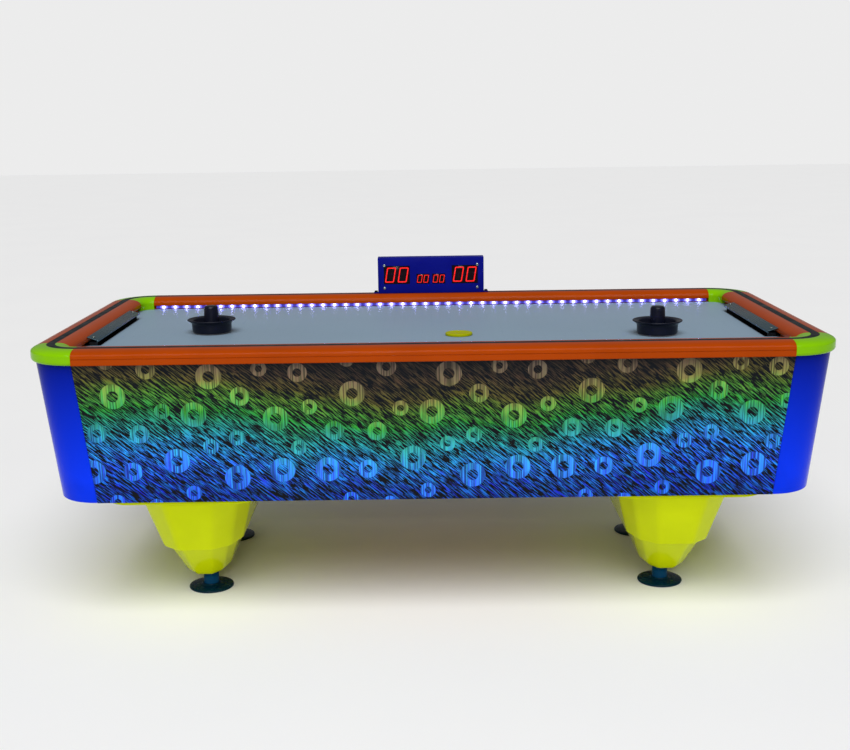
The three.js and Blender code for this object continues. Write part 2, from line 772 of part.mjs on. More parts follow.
// ---------- mallets and puck ----------
// flanged skirt, dish round the knob, rounded knob
function mallet() {
  const z0 = feltThickness + gap;
  const flange = malletFlangeHeight;
  const knob = malletKnobRadius;
  const knobShoulder = malletHeight - malletKnobRound;
  const [mouthIn, mouthDrop] = malletMouth;
  return turned([
    [0, z0], [malletRadius - malletFoot, z0], [malletRadius, z0 + malletFoot],
    [malletRadius, flange - malletFlare], [malletRadius + malletFoot, flange - malletFlare / 2],
    [malletFlangeRadius - malletBead, flange - 2.5 * malletBead],
    [malletFlangeRadius, flange - malletBead], [malletFlangeRadius - malletBead, flange],
    [malletFlangeRadius - malletBrim, flange - malletBead],
    [malletRadius - mouthIn, flange - mouthDrop],
    [malletRadius - malletWall, malletDishFloor + malletDishRound],
    [knob + malletDishRound + malletBead, malletDishFloor],
    [knob + malletBead, malletDishFloor + malletFoot],
    ...arc(0, knobShoulder, knob - malletBead, malletKnobRound, 0, 90, 3).slice(0, -1),
    [0, malletHeight],
  ]);
}

function puckDisc() {
  const rim = puckRadius - puckRimWidth;
  const h = puckThickness;
  return turned([
    [0, puckRecess], [rim - 2, puckRecess], [rim, 0], [puckRadius - 1, 0], [puckRadius, 1],
    [puckRadius, h - 1], [puckRadius - 1, h], [rim, h], [rim - 2, h - puckRecess], [0, h - puckRecess],
  ]);
}

function buildPlayPieces() {
  for (const [side, x, y] of malletPlaces) {
    const group = new THREE.Group();
    group.position.set(x, y, fieldTop + gap);
    table.add(group);
    add(`mallet_${side}`, mallet(), 'black', group);
    add(`mallet_felt_${side}`, post(malletRadius - 3, 0, feltThickness), 'felt', group);
  }
  add('puck', puckDisc().translate(puckPlace[0], puckPlace[1], fieldTop + gap), 'puck');
}

// ---------- score board ----------
const scoreFront = halfWidth - scoreSetback;
const scoreBottom = crownHeight + 3 * gap;
const scoreTop = scoreBottom + scoreHeight;
const displayBack = scoreFront + displayInset + displayDepth;

// display window standing in the board's front, or the hole for it when it is grown
function displayWindow(x, width, height, grow) {
  const front = grow > 0 ? scoreFront - 1 : scoreFront + displayInset;
  const half = width / 2 + grow;
  const z0 = scoreBottom + digitsRise;
  return block(x - half, x + half, front, displayBack, z0 - grow, z0 + height + grow);
}

function digitsWindow(x, grow) {
  return displayWindow(x, digitsWidth, digitsHeight, grow);
}

function timerWindow(x, grow) {
  return displayWindow(x, timerWidth, timerHeight, grow);
}

// two small windows on one carrier behind the board's front wall
function timerModule() {
  const carrierFront = scoreFront + scoreWall + gap;
  const half = timerX + timerWidth / 2;
  const z0 = scoreBottom + digitsRise;
  const carrier = block(-half, half, carrierFront, displayBack, z0, z0 + timerHeight);
  return join(carrier, timerWindow(-timerX, 0), timerWindow(timerX, 0));
}

function scoreCase(boltPlaces) {
  const half = scoreWidth / 2;
  const rear = scoreFront + scoreDepth;
  const shell = block(-half, half, scoreFront, rear - scoreCover, scoreBottom, scoreTop);
  const room = half - scoreWall;
  const inside = block(
    -room, room, scoreFront + scoreWall, rear, scoreBottom + scoreWall, scoreTop - scoreWall,
  );
  const reach = half + scoreTab;
  const tabTop = scoreBottom + scoreTabThickness;
  const tabs = block(
    -reach, reach, scoreFront + scoreTabY0, scoreFront + scoreTabY1, scoreBottom, tabTop,
  );
  const holes = boltPlaces.map(([x, y]) => post(boltRadius + 0.4, scoreBottom - 2, tabTop + 2, x, y, 16));
  const windows = [-1, 1].flatMap((sx) => [
    digitsWindow(sx * digitsX, gap),
    timerWindow(sx * timerX, gap),
  ]);
  return cut(join(shell, tabs), inside, ...windows, ...holes);
}

function scoreBolt([x, y]) {
  const seat = scoreBottom + scoreTabThickness + gap;
  return join(
    post(boltHeadRadius, seat, seat + boltHeadHeight, x, y, 6),
    post(boltRadius, scoreBottom, seat + 1, x, y, 16),
  );
}

function buildScoreBoard() {
  const half = scoreWidth / 2;
  const rear = scoreFront + scoreDepth;
  const boltY = scoreFront + (scoreTabY0 + scoreTabY1) / 2;
  const boltPlaces = [-1, 1].map((sx) => [sx * (half + scoreTab / 2), boltY]);
  add('score_case', scoreCase(boltPlaces), 'navy');
  const cover = block(-half, half, rear - scoreCover + gap, rear, scoreBottom, scoreTop);
  add('score_back_cover', cover, 'navy');
  add('timer_display', timerModule(), 'black');
  ['left', 'right'].forEach((side, i) => {
    const sx = 2 * i - 1;
    add(`score_display_${side}`, digitsWindow(sx * digitsX, 0), 'black');
    add(`score_bolt_${side}`, scoreBolt(boltPlaces[i]), 'black');
  });
}

// ---------- service side ----------
const tilt = Math.atan(lean); // of a wall from upright

function buildDoor() {
  const lockRise = doorRise + doorHeight / 2;
  const lockX = doorWidth / 2 - lockInset;
  const lockY = wallFace(bodyHalfY, lockRise);
  const place = (geometry) => geometry
    .rotateX(-tilt - Math.PI / 2)
    .translate(lockX, lockY, bodyBottom + lockRise);
  const leaf = wallPanel(bodyHalfX - bodyCornerRadius).translate(0, bodyHalfY - wall, 0);
  const bore = place(post(lockRadius + gap, -cutReach, cutReach, 0, 0, 24));
  add('service_door', cut(keep(leaf, doorWindow(-doorGap)), bore), 'print');

  const camTop = -wall - lockReach + camThickness;
  const camHalf = camWidth / 2;
  const rotor = join(
    post(lockRadius, camTop - camThickness, lockProud + 1, 0, 0, 24),
    post(lockHeadRadius, lockProud, lockProud + lockHeadThickness, 0, 0, 24),
    block(-camHalf, camHalf, -camHalf, camLength, camTop - camThickness, camTop),
  );
  add('door_lock', place(rotor), 'steel');
}

function powerInlet() {
  const halfX = inletWidth / 2 - 2 * gap;
  const halfZ = inletHeight / 2 - gap - leanSlack;
  const flangeX = halfX + inletFlange;
  const flangeZ = halfZ + inletFlange / 2;
  const body = join(
    block(-halfX, halfX, -inletDepth, inletRise, -halfZ, halfZ),
    block(-flangeX, flangeX, inletFlangeBase, inletFlangeTop, -flangeZ, flangeZ),
  );
  const roomX = halfX - inletWall;
  const roomZ = halfZ - inletWall;
  return cut(body, block(-roomX, roomX, inletWall * 2 - inletDepth, 10, -roomZ, roomZ));
}

function switchFrame(w, h) {
  const sleeveX = w - 2 * gap;
  const sleeveZ = h - gap - leanSlack;
  const sleeve = block(-sleeveX, sleeveX, -sleeveDepth, 1.5, -sleeveZ, sleeveZ);
  const flange = block(-w - sleeveWall, w + sleeveWall, 1, 3, -h - sleeveWall, h + sleeveWall);
  const roomX = w - sleeveWall;
  const roomZ = h - sleeveWall;
  return cut(join(sleeve, flange), block(-roomX, roomX, sleeveFloor - sleeveDepth, 10, -roomZ, roomZ));
}

// cap turned to its off side, about the axis in the wall's face
function switchRocker(w, h) {
  const half = h - rockerMargin;
  const horn = half + rockerSpread;
  const profile = new THREE.Shape();
  profile.moveTo(-half, 0);
  profile.lineTo(half, 0);
  profile.lineTo(horn, rockerRise);
  profile.quadraticCurveTo(0, rockerDip, -horn, rockerRise);
  profile.closePath();
  const capWidth = 2 * (w - sleeveWall - rockerClear);
  return new THREE.ExtrudeGeometry(profile, { depth: capWidth, bevelEnabled: false, curveSegments: 6 })
    .translate(0, 0, -capWidth / 2)
    .rotateY(-Math.PI / 2)
    .rotateX(switchThrow / 2);
}

function buildService() {
  const z = bodyBottom + socketRise;
  const face = wallFace(bodyHalfY, socketRise);
  const upright = (geometry, x) => geometry.rotateX(-tilt).translate(x, face, z);
  const w = switchWidth / 2;
  const h = switchHeight / 2;
  add('power_inlet', upright(powerInlet(), inletX), 'black');
  add('switch_frame', upright(switchFrame(w, h), switchX), 'black');
  add('switch_rocker', upright(switchRocker(w, h), switchX), 'light');

  const floor = baseTop + gap;
  const box = block(
    controlBoxX - controlBoxLength / 2, controlBoxX + controlBoxLength / 2,
    controlBoxY - controlBoxWidth / 2, controlBoxY + controlBoxWidth / 2,
    floor, floor + controlBoxHeight,
  );
  add('control_box', box, 'steel');
}

buildRim();
buildCabinet();
buildPlayfield();
buildBlower();
buildGoals();
buildPedestals();
buildPlayPieces();
buildScoreBoard();
buildDoor();
buildService();

export default table;
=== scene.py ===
"""Air hockey table: the finished look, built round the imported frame. Metres, +Z up, -Y is the front."""

import logging
import math
from contextlib import contextmanager
from dataclasses import dataclass, field
from enum import Enum
from typing import Callable, Iterator, Sequence

import bpy
from mathutils import Matrix, Vector


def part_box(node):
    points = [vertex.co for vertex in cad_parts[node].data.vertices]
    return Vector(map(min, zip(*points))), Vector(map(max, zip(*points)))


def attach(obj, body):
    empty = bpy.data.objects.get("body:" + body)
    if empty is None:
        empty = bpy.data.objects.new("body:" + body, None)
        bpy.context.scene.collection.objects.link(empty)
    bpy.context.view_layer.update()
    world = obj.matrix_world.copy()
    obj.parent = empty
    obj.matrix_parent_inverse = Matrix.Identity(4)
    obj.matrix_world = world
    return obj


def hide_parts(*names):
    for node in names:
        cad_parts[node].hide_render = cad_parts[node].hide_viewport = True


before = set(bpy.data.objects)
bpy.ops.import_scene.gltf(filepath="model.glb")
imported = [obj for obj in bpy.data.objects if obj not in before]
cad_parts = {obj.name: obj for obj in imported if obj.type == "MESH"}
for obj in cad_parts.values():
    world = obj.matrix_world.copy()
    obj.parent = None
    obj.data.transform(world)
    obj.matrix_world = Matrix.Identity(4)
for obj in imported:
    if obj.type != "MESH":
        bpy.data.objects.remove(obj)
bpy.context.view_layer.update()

LOG = logging.getLogger("air_hockey_table")

Point = Sequence[float]
Flat = tuple[float, float]
Colour = tuple[float, float, float]

GAP = 0.0003  # clearance between pieces that touch
MIDST = (0.3, 0.7)  # where most of a noise's values lie
SIDES = ("left", "right")
ENDS = ("front", "back")
CORNERS = {"back_right": (1, 1), "back_left": (-1, 1), "front_left": (-1, -1), "front_right": (1, -1)}


# ---------- bench ----------
def arc(centre: Flat, radii: Flat, start: float, end: float, steps: int) -> list[Flat]:
    """Points along a part of an ellipse.

    Args:
        centre: centre of the ellipse.
        radii: its half axes.
        start: first angle in degrees.
        end: last angle in degrees.
        steps: number of chords.

    Returns:
        steps + 1 points.
    """
    angles = [math.radians(start + (end - start) * i / steps) for i in range(steps + 1)]
    return [(centre[0] + radii[0] * math.cos(a), centre[1] + radii[1] * math.sin(a)) for a in angles]


def rounded_rectangle(half: Flat, radius: float, steps: int = 10) -> list[Flat]:
    """Outline of a rectangle with round corners, anticlockwise.

    Args:
        half: half length and half width.
        radius: radius of the corners.
        steps: chords in each corner.

    Returns:
        the outline's points.
    """
    x, y = half[0] - radius, half[1] - radius
    places = [(x, y, 0), (-x, y, 90), (-x, -y, 180), (x, -y, 270)]
    return [p for cx, cy, a in places for p in arc((cx, cy), (radius, radius), a, a + 90, steps)]


def filleted(points: Sequence[Flat], radius: float, steps: int = 6) -> list[Flat]:
    """Round off each corner of a closed outline with a tangent curve.

    Args:
        points: corners of the outline.
        radius: distance from a corner to where its rounding starts.
        steps: chords in each rounding.

    Returns:
        the rounded outline.
    """
    rounded = []
    for i, corner in enumerate(points):
        here, before, after = Vector(corner), Vector(points[i - 1]), Vector(points[(i + 1) % len(points)])
        start = here + (before - here).normalized() * radius
        end = here + (after - here).normalized() * radius
        for k in range(steps + 1):
            t = k / steps
            rounded.append(tuple(start * (1 - t) ** 2 + here * 2 * t * (1 - t) + end * t ** 2))
    return rounded


class Axis(Enum):
    """Directions to turn about."""

    X = (1.0, 0.0, 0.0)
    Z = (0.0, 0.0, 1.0)


class Piece:
    """One solid on the bench, with the actions that shape it."""

    def __init__(self, thing: bpy.types.Object, name: str) -> None:
        """Take an object as the piece and name it.

        Args:
            thing: the object that holds the mesh.
            name: the piece's name.
        """
        self.thing = thing
        thing.name = name

    # starts
    @classmethod
    def drawn(cls, name: str, points: Sequence[Point], closed: bool = True) -> "Piece":
        """Draw a line through points, and fill it if it is closed.

        Args:
            name: the piece's name.
            points: the corners in order.
            closed: whether the line becomes a face.

        Returns:
            the new piece.
        """
        bpy.ops.object.select_all(action="DESELECT")
        bpy.ops.mesh.primitive_plane_add(size=0.01, location=points[0])
        piece = cls(bpy.context.object, name)
        piece.settle()
        with piece.editing(vertices=True):
            bpy.ops.mesh.merge(type="CENTER")
            for start, end in zip(points, points[1:]):
                step = Vector(end) - Vector(start)
                bpy.ops.mesh.extrude_vertices_move(TRANSFORM_OT_translate={"value": step})
            if closed:
                bpy.ops.mesh.select_all(action="SELECT")
                bpy.ops.mesh.edge_face_add()
        return piece

    @classmethod
    def block(cls, name: str, low: Point, high: Point) -> "Piece":
        """Start from a box between two corners.

        Args:
            name: the piece's name.
            low: lowest corner.
            high: highest corner.

        Returns:
            the new piece.
        """
        low, high = Vector(low), Vector(high)
        bpy.ops.object.select_all(action="DESELECT")
        bpy.ops.mesh.primitive_cube_add(size=1, location=(low + high) / 2, scale=high - low)
        piece = cls(bpy.context.object, name)
        piece.settle()
        return piece

    @classmethod
    def post(cls, name: str, radius: float, low: Point, height: float, sides: int = 32) -> "Piece":
        """Start from an upright round bar.

        Args:
            name: the piece's name.
            radius: its radius.
            low: centre of its lower end.
            height: its height.
            sides: number of flats round it.

        Returns:
            the new piece.
        """
        middle = Vector(low) + Vector((0, 0, height / 2))
        bpy.ops.object.select_all(action="DESELECT")
        bpy.ops.mesh.primitive_cylinder_add(vertices=sides, radius=radius, depth=height, location=middle)
        piece = cls(bpy.context.object, name)
        piece.settle()
        return piece

    @classmethod
    def turned(cls, name: str, profile: Sequence[Flat], centre: Point, steps: int = 48) -> "Piece":
        """Turn a profile about an upright axis.

        Args:
            name: the piece's name.
            profile: radius and height of each point, from axis to axis.
            centre: foot of the axis.
            steps: number of facets round it.

        Returns:
            the new piece.
        """
        x, y, z = centre
        piece = cls.drawn(name, [(x + r, y, z + h) for r, h in profile], closed=False)
        piece.spin(centre, 360, steps)
        return piece

    @classmethod
    def of_node(cls, node: str, name: str) -> "Piece":
        """Start from a copy of a frame node, with its flat faces made whole again.

        Args:
            node: the frame node.
            name: the piece's name.

        Returns:
            the new piece.
        """
        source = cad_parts[node]
        copy = bpy.data.objects.new(name, source.data.copy())
        bpy.context.scene.collection.objects.link(copy)
        piece = cls(copy, name)
        with piece.editing():
            bpy.ops.mesh.remove_doubles(threshold=1e-5)
            bpy.ops.mesh.dissolve_limited(angle_limit=math.radians(1))
        return piece

    # handling
    def take(self) -> None:
        """Select this piece alone and make it active."""
        bpy.ops.object.select_all(action="DESELECT")
        self.thing.select_set(True)
        bpy.context.view_layer.objects.active = self.thing

    def settle(self) -> "Piece":
        """Write the object's place into its mesh, and return the piece."""
        self.take()
        bpy.ops.object.transform_apply(location=True, rotation=True, scale=True)
        return self

    @contextmanager
    def editing(
        self, pick: Callable[[Vector, Vector], bool] | None = None, vertices: bool = False
    ) -> Iterator[None]:
        """Work in edit mode on everything, or on the faces that a test picks.

        Args:
            pick: test on a face's centre and normal.
            vertices: whether single vertices are worked on.

        Yields:
            nothing; the selection is ready for operators.
        """
        self.take()
        bpy.context.tool_settings.mesh_select_mode = (vertices, False, not vertices)
        bpy.ops.object.mode_set(mode="EDIT")
        bpy.ops.mesh.select_all(action="DESELECT" if pick else "SELECT")
        if pick:
            bpy.ops.object.mode_set(mode="OBJECT")
            for face in self.thing.data.polygons:
                face.select = pick(face.center, face.normal)
            bpy.ops.object.mode_set(mode="EDIT")
        yield
        bpy.ops.object.mode_set(mode="OBJECT")

    def copy(self, name: str) -> "Piece":
        """A second piece with a mesh of its own.

        Args:
            name: the copy's name.

        Returns:
            the copy.
        """
        self.take()
        bpy.ops.object.duplicate()
        return Piece(bpy.context.object, name)

    def move(self, by: Point) -> "Piece":
        """Shift the piece, and return it."""
        self.thing.location = Vector(by)
        return self.settle()

    def turn(self, degrees: float, axis: Axis, centre: Point = (0, 0, 0)) -> "Piece":
        """Turn the piece about an axis.

        Args:
            degrees: angle, right-handed.
            axis: direction of the axis.
            centre: point on the axis.

        Returns:
            the piece.
        """
        middle = Vector(centre)
        spin = Matrix.Rotation(math.radians(degrees), 4, Vector(axis.value))
        self.thing.matrix_world = Matrix.Translation(middle) @ spin @ Matrix.Translation(-middle)
        return self.settle()

    def mirror(self, along: Sequence[int]) -> "Piece":
        """Mirror the piece in the frame's origin.

        Args:
            along: 1 or -1 for each axis.

        Returns:
            the piece.
        """
        self.thing.scale = Vector(along)
        self.settle()
        return self.clean()

    # shaping
    def extrude(self, step: Point, scale: Point = (1, 1, 1), centre: Point | None = None) -> "Piece":
        """Pull the last face, or all faces of a flat piece, along a step.

        Args:
            step: direction and distance.
            scale: how the pulled face is scaled afterwards.
            centre: fixed point of the scaling.

        Returns:
            the piece.
        """
        bpy.ops.mesh.extrude_region_move(TRANSFORM_OT_translate={"value": Vector(step)})
        if centre:
            bpy.ops.transform.resize(value=scale, center_override=centre)
        return self

    def pull(self, step: Point) -> "Piece":
        """Pull a flat piece into a closed solid, and return it."""
        with self.editing():
            self.extrude(step)
        return self.clean()

    def spin(self, centre: Point, degrees: float, steps: int) -> "Piece":
        """Sweep the piece round an upright axis.

        Args:
            centre: point on the axis.
            degrees: angle of the sweep.
            steps: number of facets.

        Returns:
            the piece.
        """
        with self.editing(vertices=True):
            bpy.ops.mesh.spin(steps=steps, angle=math.radians(degrees), center=centre, axis=(0, 0, -1))
        return self.clean()

    def clean(self) -> "Piece":
        """Merge doubles and point all faces outwards, and return the piece."""
        with self.editing(vertices=True):
            bpy.ops.mesh.remove_doubles(threshold=1e-6)
            bpy.ops.mesh.normals_make_consistent(inside=False)
        return self

    def apply(self, kind: str, **settings: object) -> "Piece":
        """Add a modifier and apply it.

        Args:
            kind: the modifier's type.
            settings: its settings by name.

        Returns:
            the piece.
        """
        self.take()
        modifier = self.thing.modifiers.new(kind.lower(), kind)
        for key, value in settings.items():
            setattr(modifier, key, value)
        bpy.ops.object.modifier_apply(modifier=modifier.name)
        return self

    def bevel(self, width: float, segments: int = 3, above: float = 30) -> "Piece":
        """Round off edges.

        Args:
            width: width of the rounding.
            segments: facets across it.
            above: least angle in degrees of an edge that is rounded.

        Returns:
            the piece.
        """
        return self.apply("BEVEL", width=width, segments=segments, limit_method="ANGLE",
                          angle_limit=math.radians(above), use_clamp_overlap=True)

    def cut(self, *tools: "Piece") -> "Piece":
        """Cut other pieces away, which are used up.

        Args:
            tools: what is cut away.

        Returns:
            the piece.
        """
        for tool in tools:
            self.apply("BOOLEAN", operation="DIFFERENCE", object=tool.thing, solver="EXACT")
            bpy.data.objects.remove(tool.thing)
        return self

    def join(self, *others: "Piece") -> "Piece":
        """Take other pieces in as loose solids of this one.

        Args:
            others: the pieces that are taken in.

        Returns:
            the piece.
        """
        self.take()
        for other in others:
            other.thing.select_set(True)
        bpy.ops.object.join()
        return self

    def smooth(self, below: float = 35) -> "Piece":
        """Shade smooth across edges flatter than an angle in degrees, and return the piece."""
        self.take()
        bpy.ops.object.shade_smooth_by_angle(angle=math.radians(below))
        return self

    # finishing
    def dress(self, finish: "Finish") -> "Piece":
        """Give the whole piece one finish, and return it."""
        self.thing.data.materials.clear()
        self.thing.data.materials.append(finish.material())
        return self

    def mount(self, body: str, slot: str, *nodes: str) -> "Piece":
        """Set the piece on its body, in the place of frame nodes.

        Args:
            body: body that the piece moves with.
            slot: material slot of the record; not used.
            nodes: frame nodes that it stands for.

        Returns:
            the piece.
        """
        self.smooth()
        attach(self.thing, body)
        if nodes:
            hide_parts(*nodes)
        LOG.info("%s: %d faces, rides on %s", self.thing.name, len(self.thing.data.polygons), body)
        return self


# ---------- finishes ----------
class Recipe:
    """A node tree being laid out for one finish."""

    def __init__(self, name: str) -> None:
        """Start a material.

        Args:
            name: the material's name.
        """
        self.material = bpy.data.materials.new(name)
        self.material.use_nodes = True
        self.tree = self.material.node_tree
        self.shader = self.tree.nodes["Principled BSDF"]
        self.place = self.node("ShaderNodeTexCoord").outputs["Object"]

    def node(self, kind: str, **settings: object) -> bpy.types.Node:
        """Add a node.

        Args:
            kind: the node's type.
            settings: its settings by name.

        Returns:
            the node.
        """
        node = self.tree.nodes.new(kind)
        for key, value in settings.items():
            setattr(node, key, value)
        return node

    def feed(self, socket: bpy.types.NodeSocket, value: object) -> None:
        """Link a socket to another one, or set its value."""
        if isinstance(value, bpy.types.NodeSocket):
            self.tree.links.new(value, socket)
        else:
            socket.default_value = value

    def set(self, **values: object) -> None:
        """Feed the shader's sockets, named in lower case with underscores."""
        for key, value in values.items():
            socket = self.shader.inputs[key.replace("_", " ").title().replace("Ior", "IOR")]
            if isinstance(value, tuple) and len(value) == 3:
                value = (*value, 1)
            self.feed(socket, value)

    def math(self, kind: str, a: object, b: object = 0.0, clamp: bool = False) -> bpy.types.NodeSocket:
        """Combine two values.

        Args:
            kind: the operation.
            a: first value or socket.
            b: second value or socket.
            clamp: whether the result is kept from 0 to 1.

        Returns:
            the result's socket.
        """
        node = self.node("ShaderNodeMath", operation=kind, use_clamp=clamp)
        self.feed(node.inputs[0], a)
        self.feed(node.inputs[1], b)
        return node.outputs[0]

    def remap(self, value: object, old: Flat, new: Flat = (0, 1)) -> bpy.types.NodeSocket:
        """Map one range of values to another, clamped.

        Args:
            value: the value's socket.
            old: its range.
            new: range that it is mapped to.

        Returns:
            the result's socket.
        """
        node = self.node("ShaderNodeMapRange")
        for index, item in enumerate((value, *old, *new)):
            self.feed(node.inputs[index], item)
        return node.outputs[0]

    def warp(
        self, scale: Point = (1, 1, 1), degrees: float = 0, vector: object = None
    ) -> bpy.types.NodeSocket:
        """Scale a place, then turn it in its plane.

        Args:
            scale: factor along each axis.
            degrees: turn about Z.
            vector: the place, or the object's own coordinates.

        Returns:
            the new place.
        """
        node = self.node("ShaderNodeMapping")
        self.feed(node.inputs["Vector"], vector or self.place)
        node.inputs["Scale"].default_value = scale
        node.inputs["Rotation"].default_value = (0, 0, math.radians(degrees))
        return node.outputs[0]

    def noise(self, scale: float, detail: float = 2, vector: object = None) -> bpy.types.NodeSocket:
        """Cloudy noise.

        Args:
            scale: features per metre.
            detail: octaves.
            vector: the place, or the object's own coordinates.

        Returns:
            the noise from 0 to 1.
        """
        node = self.node("ShaderNodeTexNoise")
        self.feed(node.inputs["Vector"], vector or self.place)
        node.inputs["Scale"].default_value = scale
        node.inputs["Detail"].default_value = detail
        return node.outputs[0]

    def cells(self, scale: float, randomness: float, vector: object = None) -> bpy.types.Node:
        """Voronoi cells in a plane.

        Args:
            scale: cells per metre.
            randomness: 0 for a regular grid.
            vector: the place, or the object's own coordinates.

        Returns:
            the node, with Distance and Color outputs.
        """
        node = self.node("ShaderNodeTexVoronoi", voronoi_dimensions="2D")
        self.feed(node.inputs["Vector"], vector or self.place)
        node.inputs["Scale"].default_value = scale
        node.inputs["Randomness"].default_value = randomness
        return node

    def mix(self, share: object, a: object, b: object, blend: str = "MIX") -> bpy.types.NodeSocket:
        """Mix two colours.

        Args:
            share: share of the second colour.
            a: first colour.
            b: second colour.
            blend: way of mixing.

        Returns:
            the mixed colour.
        """
        node = self.node("ShaderNodeMix", data_type="RGBA", blend_type=blend)
        self.feed(node.inputs["Factor"], share)
        for name, value in (("A", a), ("B", b)):
            socket = next(s for s in node.inputs if s.name == name and s.type == "RGBA")
            self.feed(socket, (*value, 1) if isinstance(value, tuple) else value)
        return next(s for s in node.outputs if s.type == "RGBA")

    def ramp(self, value: object, stops: Sequence[tuple[float, Colour]]) -> bpy.types.NodeSocket:
        """Colours along a scale.

        Args:
            value: the place on the scale.
            stops: position and colour of each stop, at most 32.

        Returns:
            the colour.
        """
        node = self.node("ShaderNodeValToRGB")
        elements = node.color_ramp.elements
        for _ in stops[2:]:
            elements.new(0.5)
        for element, (position, colour) in zip(elements, stops):
            element.position = position
            element.color = (*colour, 1)
        self.feed(node.inputs[0], value)
        return node.outputs[0]

    def bump(self, height: object, strength: float, distance: float = 0.001) -> None:
        """Raise the surface by a height pattern.

        Args:
            height: the pattern.
            strength: how strongly it shows.
            distance: height of the pattern in metres.
        """
        node = self.node("ShaderNodeBump")
        node.inputs["Strength"].default_value = strength
        node.inputs["Distance"].default_value = distance
        self.feed(node.inputs["Height"], height)
        self.feed(self.shader.inputs["Normal"], node.outputs["Normal"])


def srgb(code: int) -> Colour:
    """Linear colour of a colour code as seen on a screen."""
    parts = [(code >> shift & 255) / 255 for shift in (16, 8, 0)]
    return tuple(((p + 0.055) / 1.055) ** 2.4 if p > 0.04045 else p / 12.92 for p in parts)


@dataclass(frozen=True)
class Finish:
    """A surface finish. Each kind lays its own nodes."""

    name: str
    colour: Colour

    def material(self) -> bpy.types.Material:
        """The finish's material, made at its first use."""
        name = f"{self.name}_finish"
        found = bpy.data.materials.get(name)
        if found:
            return found
        recipe = Recipe(name)
        self.lay(recipe)
        return recipe.material

    def lay(self, recipe: Recipe) -> None:
        """Lay the nodes of this kind of finish."""
        raise NotImplementedError


@dataclass(frozen=True)
class GlossPlastic(Finish):
    """Glossy moulded plastic with a slow mottle, fine flow lines and orange peel; with a span, also painted
    shade that darkens it towards the top.
    """

    # deep: darker tone for the mottle and specks, and the colour of the painted shade when a span is set
    deep: Colour = (0.0, 0.0, 0.0)
    # span: heights of the painted shade, deepest at the first and gone at the second
    span: Flat | None = None
    roughness: float = 0.16
    specular: float = 0.07

    def lay(self, recipe: Recipe) -> None:
        """Run the colour from deep at the span's first height to full at its second; this run is painted
        shade, darker towards the top.
        """
        mottle = recipe.remap(recipe.noise(7, 3), MIDST, (0.0, 0.3))
        share = mottle
        # painted shade: the colour darkens towards the top of the span, standing in for the shade of the rim
        # above
        if self.span:
            height = recipe.node("ShaderNodeSeparateXYZ")
            recipe.feed(height.inputs[0], recipe.place)
            painted_top_shade = recipe.remap(height.outputs["Z"], self.span, (1.0, 0.0))
            share = recipe.math("MAXIMUM", mottle, painted_top_shade)
        colour = recipe.mix(share, self.colour, self.deep)
        specks = recipe.remap(recipe.noise(900, 1), (0.62, 0.75), (0.0, 0.12))
        recipe.set(base_color=recipe.mix(specks, colour, self.deep))
        smear = recipe.noise(3, 4, recipe.warp((1, 1, 6)))
        recipe.set(roughness=recipe.remap(smear, MIDST, (self.roughness * 0.7, self.roughness * 1.5)))
        recipe.set(specular_ior_level=self.specular)
        recipe.bump(recipe.noise(420, 2), 0.05, 0.0004)


class Across(Enum):
    """Which coordinate runs along a printed board."""

    LENGTH = "X"
    WIDTH = "Y"


class Ring(Enum):
    """Sizes of the printed rings, as outer radius in metres."""

    SMALL = 0.0183
    MIDDLE = 0.0227
    LARGE = 0.0300


RING_PLACES = {  # middle of each ring in one repeat of the print: along the board, above the floor
    Ring.SMALL: (
        (0.031, 0.433), (0.091, 0.453), (0.149, 0.616), (0.232, 0.428), (0.259, 0.525),
        (0.347, 0.636), (0.348, 0.300), (0.438, 0.289), (0.466, 0.519), (0.526, 0.320),
    ),
    Ring.MIDDLE: (
        (0.103, 0.552), (0.235, 0.606), (0.314, 0.468), (0.389, 0.374), (0.411, 0.465), (0.436, 0.617),
    ),
    Ring.LARGE: (
        (-0.004, 0.510), (0.537, 0.510), (0.035, 0.599), (0.088, 0.356), (0.182, 0.498),
        (0.192, 0.374), (0.297, 0.374), (0.357, 0.555), (0.492, 0.399),
    ),
}


